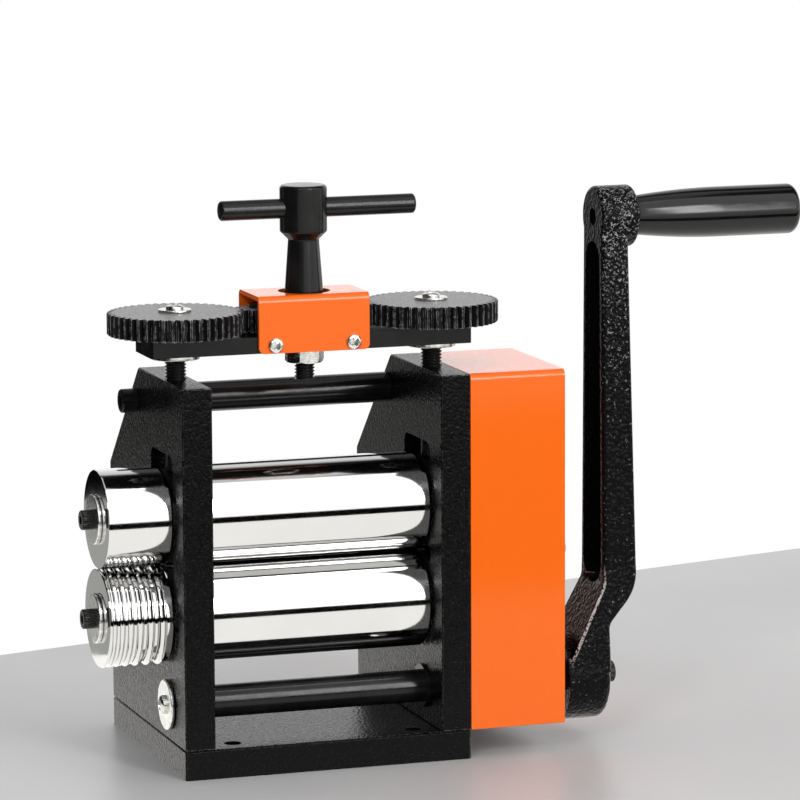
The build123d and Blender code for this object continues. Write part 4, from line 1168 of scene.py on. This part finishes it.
class MILL_OT_lift_train(bpy.types.Operator):
    """Lift gears, idlers, pinion and the threaded pressure screws"""

    bl_idname = "mill.lift_train"
    bl_label = "Lift train"

    def execute(self, context):
        sizes = context.scene.mill.sizes
        for side, name in ((-1, "left"), (1, "right")):
            phase = math.pi if side > 0 else 0.0
            self.gear("lift_gear_" + name, sizes.lift_teeth, 4.02 * MM, 8 * MM, phase)
            self.gear("idler_gear_" + name, sizes.idler_teeth, 3.05 * MM, 6 * MM,
                      math.pi / sizes.idler_teeth, 0.1)
            self.pressure_screw(sizes, name)
            self.fastener(sizes, name)
        self.gear("spindle_pinion", sizes.pinion_teeth, 5.02 * MM, 8 * MM, 0.0, 0.1)
        return {"FINISHED"}

    def gear(self, node, teeth, bore, boss, phase, undercut=0.0):
        sizes = bpy.context.scene.mill.sizes
        outline = tooth(teeth, sizes.lift_module, sizes.lift_backlash, undercut=undercut,
                        steps=5)
        low, high = span(node, 2)
        place = middle(node)
        foot = high - 10 * MM  # underside of the teeth
        tip = max(radius for radius, angle in outline)
        bevel = sizes.gear_chamfer if undercut == 0.0 else sizes.gear_chamfer / 2
        levels = [(0.0, tip - bevel), (bevel, tip), (high - foot - bevel, tip),
                  (high - foot, tip - bevel)]
        toothed = copies(wedge(outline, levels, bore), SLOT_OF[node], ring=teeth, weld=1e-6)
        collar = lathe([(bore, low - foot), (boss, low - foot), (boss, 0.1 * MM),
                        (bore, 0.1 * MM)], 64, ring=True)
        parts = [moved(toothed, (place.x, place.y, foot), "+Z", phase),
                 moved(collar, (place.x, place.y, foot))]
        show(node + "_cut", parts, node, smooth=30.0)

    def pressure_screw(self, sizes, name):
        node = "pressure_screw_" + name
        low, high = span(node, 2)
        place, radius = middle(node), radius_of(node, 0)
        shoulder = span("bar_washer_" + name, 2)[0]
        journal = 4 * MM
        lowest = span("side_frame_left", 2)[1] - 9 * MM
        core = radius - sizes.thread_depth
        stem = [(0.0, low), (radius - 1 * MM, low), (radius, low + 1 * MM), (radius, lowest),
                (core, lowest), (core, shoulder), (journal, shoulder), (journal, high),
                (0.0, high)]
        parts = [lathe(eased(stem, 0.1 * MM, 2), 48),
                 threaded(radius, sizes.thread_depth, sizes.thread_pitch, lowest, shoulder)]
        for part in parts:
            moved(part, (place.x, place.y, 0.0))
        show(node + "_threaded", parts, node, smooth=50.0)

    def fastener(self, sizes, name):
        node = "gear_fastener_" + name
        low, high = span(node, 2)
        place, seat = middle(node), span("lift_gear_" + name, 2)[1]
        thickness = 1.2 * MM
        disc = washer(radius_of(node, 0), 2.02 * MM, thickness, sizes.rim)
        screw = cross_head(4 * MM, high - seat - thickness, shank=1.9 * MM, depth=7 * MM)
        turn = math.radians(30.0 if name == "left" else 75.0)
        show(node + "_pair", [moved(disc, (place.x, place.y, seat)),
                              moved(screw, (place.x, place.y, seat + thickness), "+Z",
                                    turn)],
             node)
        node = "bar_washer_" + name
        low, high = span(node, 2)
        disc = washer(radius_of(node, 0), bore=4.02 * MM, thickness=high - low,
                      rim=sizes.rim)
        show(node + "_turned", [moved(disc, (place.x, place.y, low))], node)


class MILL_OT_spindle(bpy.types.Operator):
    """T-handled spindle, its cross bar and nut"""

    bl_idname = "mill.spindle"
    bl_label = "T-handled spindle"

    def execute(self, context):
        sizes = context.scene.mill.sizes
        low, high = span("t_spindle", 2)
        place, head = middle("t_spindle"), radius_of("t_spindle", 0)
        bar = middle("cross_bar")
        bracket = span("pinion_bracket", 2)[1]
        gear = span("spindle_pinion", 2)[1]
        nut = span("spindle_nut", 2)
        underside = 2 * bar.z - high
        thread, journal, foot, neck = 4.6 * MM, 5 * MM, 8.7 * MM, 7 * MM
        core = thread - 0.9 * MM
        stem = [(0.0, nut[0]), (core, nut[0]), (core, nut[1]),
                (journal, nut[1]), (journal, gear + 0.2 * MM), (foot, gear + 0.2 * MM),
                (foot, bracket), (neck, underside - 3.6 * MM), (head, underside),
                (head, high - 1 * MM), (head - 1 * MM, high), (0.0, high)]
        parts = [lathe(eased(stem, 0.5 * MM, 4), 128),
                 threaded(thread, sizes.thread_depth * 0.9, sizes.thread_pitch, low,
                          nut[0] + 0.5 * MM)]
        for part in parts:
            moved(part, (place.x, place.y, 0.0))
        show("t_spindle_turned", parts, "t_spindle", smooth=50.0)
        start, end = span("cross_bar", 0)
        radius = radius_of("cross_bar", 2)
        rod = eased([(0.0, start), (radius - 0.8 * MM, start), (radius, start + 0.8 * MM),
                     (radius, end - 0.8 * MM), (radius - 0.8 * MM, end), (0.0, end)],
                    0.5 * MM, 4)
        show("cross_bar_turned", [moved(lathe(rod), (0.0, bar.y, bar.z), "+X")], "cross_bar")
        show_welded("spindle_nut")
        return {"FINISHED"}


class MILL_OT_stage(bpy.types.Operator):
    """Camera, pale floor, soft lamps and daylight"""

    bl_idname = "mill.stage"
    bl_label = "Stage"

    def execute(self, context):
        stage = context.scene.mill.stage
        self.camera(context, stage)
        self.daylight(context, stage)
        self.floor(stage)
        self.lamp("key", (-2.6, -3.8, 3.4), (1.2, 1.2), 52.0)
        self.lamp("front", (1.26, -3.5, 1.6), (0.7, 2.2), 64.0)
        self.lamp("top", (0.2, 0.5, 4.0), (2.8, 2.8), 21.0)
        # Cards that give the polished steel its dark lines.
        self.card("dark_strip", [(-1.6, -0.42, 0.002), (1.6, -0.42, 0.002),
                                 (1.6, -0.50, 0.090), (-1.6, -0.50, 0.090)])
        self.card("dark_back", [(-0.55, 0.6, 0.012), (-0.16, 0.6, 0.012),
                                (-0.16, 0.6, 0.5), (-0.55, 0.6, 0.5)])
        self.card("dark_left", [(-0.45, -0.5, 0.002), (-0.45, 0.3, 0.002),
                                (-0.45, 0.3, 0.5), (-0.45, -0.5, 0.5)])
        context.scene.view_settings.view_transform = "Standard"
        return {"FINISHED"}

    def camera(self, context, stage):
        """The camera: level first, then turned, tilted and rolled."""
        yaw, pitch, roll = stage.camera_yaw, stage.camera_pitch, stage.camera_roll
        ahead = Vector((math.sin(yaw) * math.cos(pitch), math.cos(yaw) * math.cos(pitch),
                        -math.sin(pitch)))
        right = Vector((math.cos(yaw), -math.sin(yaw), 0.0))
        up = right.cross(ahead)
        right, up = (right * math.cos(roll) + up * math.sin(roll),
                     up * math.cos(roll) - right * math.sin(roll))
        turn = Matrix((right, up, -ahead)).transposed().to_4x4()
        data = bpy.data.cameras.new("camera")
        data.lens = stage.camera_lens
        data.sensor_width = 36.0
        data.clip_end = 50.0
        camera = bpy.data.objects.new("camera", data)
        camera.matrix_world = Matrix.Translation(stage.camera_place) @ turn
        context.scene.collection.objects.link(camera)
        context.scene.camera = camera

    def daylight(self, context, stage):
        """White for the camera; for reflections dark overhead and on the left."""
        world = bpy.data.worlds.new("daylight")
        context.scene.world = world
        world.use_nodes = True
        tree = world.node_tree
        rays = tree.nodes.new("ShaderNodeLightPath").outputs
        toward = tree.nodes.new("ShaderNodeTexCoord").outputs["Generated"]
        toward = add(tree, "ShaderNodeSeparateXYZ", {0: toward}).outputs
        front = add(tree, "ShaderNodeMath", {0: toward["Y"], 1: -1.0}, operation="MULTIPLY")
        arc = add(tree, "ShaderNodeMath", {0: toward["Z"], 1: front.outputs[0]},
                  operation="ARCTAN2")
        arc = add(tree, "ShaderNodeMapRange",
                  {0: arc.outputs[0], 1: 0.0, 2: math.pi, 3: 0.0, 4: 1.0})
        ramp = add(tree, "ShaderNodeValToRGB", {0: arc.outputs[0]})
        stops = ramp.color_ramp.elements
        # Half circle from the front over the top to the back, with brightnesses.
        levels = ((0.0, 1.64), (0.43, 1.64), (0.45, 0.01), (0.69, 0.01), (0.74, 0.75),
                  (0.90, 1.0))
        for number, (place, level) in enumerate(levels):
            stop = stops[number] if number < 2 else stops.new(place)
            stop.position, stop.color = place, (level, level, level, 1.0)
        left = add(tree, "ShaderNodeMapRange",
                   {0: toward["X"], 1: -0.40, 2: -0.15, 3: 0.08 * stage.back_glow,
                    4: stage.back_glow})
        glossy = add(tree, "ShaderNodeMath", {0: ramp.outputs[0], 1: left.outputs[0]},
                     operation="MULTIPLY")
        level = add(tree, "ShaderNodeMix",
                    {0: rays["Is Glossy Ray"], 2: stage.daylight, 3: glossy.outputs[0]})
        seen = add(tree, "ShaderNodeMath",
                   {0: rays["Is Camera Ray"], 1: rays["Is Transmission Ray"]},
                   operation="MAXIMUM")
        level = add(tree, "ShaderNodeMix", {0: seen.outputs[0], 2: level.outputs[0], 3: 1.0})
        back = tree.nodes["Background"]
        back.inputs["Color"].default_value = (1.0, 1.0, 1.0, 1.0)
        tree.links.new(level.outputs[0], back.inputs["Strength"])

    def floor(self, stage):
        """A grey table with a far edge behind the mill, and white floor beyond it."""
        edge_left, edge_right = Vector((-2.0, -0.2825, 0.0)), Vector((3.0, 1.0637, 0.0))
        reach = 6.0
        near = [edge_left, (-2.0, -reach, 0.0), (3.0, -reach, 0.0), edge_right]
        far = [edge_left, edge_right, (3.0, reach, 0.0), (-2.0, reach, 0.0)]
        for name, corners, white in (("table", near, False), ("far_floor", far, True)):
            plane = linked(name, mesh_of([tuple(c) for c in corners], [(0, 1, 2, 3)]))
            plane.data.materials.append(self.floor_finish(stage, white))

    def floor_finish(self, stage, white):
        """Soft floor paint; white for the camera, and pale in reflections."""
        base = (0.8, 0.8, 0.8) if white else tuple(stage.floor)
        look = Finish("White floor" if white else "Grey table", base, 0.0, 0.38, 0.35)
        look.set("Roughness", look.spread(look.noise(6.0, 3.0), 0.3, 0.7, 0.34, 0.42))
        tree = look.tree
        rays = tree.nodes.new("ShaderNodeLightPath").outputs
        glow = stage.far_glow if white else stage.floor_glow
        pale = add(tree, "ShaderNodeEmission", {"Color": (*glow, 1.0)})
        mirrored = add(tree, "ShaderNodeMixShader",
                       {0: rays["Is Glossy Ray"], 1: look.shader.outputs[0],
                        2: pale.outputs[0]})
        if white:
            glow = add(tree, "ShaderNodeEmission", {"Color": (1.0, 1.0, 1.0, 1.0)})
            mirrored = add(tree, "ShaderNodeMixShader",
                           {0: rays["Is Camera Ray"], 1: mirrored.outputs[0],
                            2: glow.outputs[0]})
        tree.links.new(mirrored.outputs[0], tree.nodes["Material Output"].inputs["Surface"])
        return look.material

    def lamp(self, name, place, size, power):
        """A soft box that faces the mill."""
        data = bpy.data.lights.new(name, "AREA")
        data.shape = "RECTANGLE"
        data.size, data.size_y = size
        data.energy = power
        lamp = bpy.data.objects.new(name, data)
        aim = Vector((0.0, 0.0, 0.1)) - Vector(place)
        turn = aim.to_track_quat("-Z", "Y").to_matrix().to_4x4()
        lamp.matrix_world = Matrix.Translation(place) @ turn
        bpy.context.scene.collection.objects.link(lamp)

    def card(self, name, corners):
        """A dark card seen only in reflections."""
        card = linked(name, mesh_of(corners, [(0, 1, 2, 3)]))
        card.data.materials.append(Finish(name, (0.003, 0.003, 0.003), 0.0, 0.9, 0.0).material)
        card.visible_camera = False
        card.visible_diffuse = False
        card.visible_shadow = False


class MILL_OT_plain_nodes(bpy.types.Operator):
    """Finishes for the CAD nodes that keep their own meshes"""

    bl_idname = "mill.plain_nodes"
    bl_label = "Finish the other nodes"

    def execute(self, context):
        for name, node in frame["nodes"].items():
            if node.hide_render:
                continue
            node.data.materials.clear()
            node.data.materials.append(finish(SLOT_OF[name]))
        return {"FINISHED"}


class MILL_PT_looks(bpy.types.Panel):
    """Settings and steps of the mill's looks"""

    bl_label = "Rolling mill"
    bl_idname = "MILL_PT_looks"
    bl_space_type = "VIEW_3D"
    bl_region_type = "UI"
    bl_category = "Mill"

    def draw(self, context):
        mill = context.scene.mill
        for group in (mill.sizes, mill.colours, mill.stage):
            box = self.layout.box()
            for name in group.bl_rna.properties.keys():
                if name not in ("rna_type", "name"):
                    box.prop(group, name)
        for step in STEPS:
            self.layout.operator(step.bl_idname)


STEPS = (
    MILL_OT_frame, MILL_OT_tie_bar, MILL_OT_springs, MILL_OT_cover, MILL_OT_rollers,
    MILL_OT_side_rollers, MILL_OT_drive_gears, MILL_OT_crank, MILL_OT_carrier,
    MILL_OT_lift_train, MILL_OT_spindle, MILL_OT_plain_nodes, MILL_OT_stage,
)
CLASSES = (MillSizes, MillColours, MillStage, MillSettings, *STEPS, MILL_PT_looks)


def register():
    for cls in CLASSES:
        bpy.utils.register_class(cls)
    bpy.types.Scene.mill = PointerProperty(type=MillSettings)


def unregister():
    del bpy.types.Scene.mill
    for cls in reversed(CLASSES):
        bpy.utils.unregister_class(cls)


def main():
    register()
    for step in STEPS:
        category, name = step.bl_idname.split(".")
        getattr(getattr(bpy.ops, category), name)()


if __name__ == "__main__":
    main()
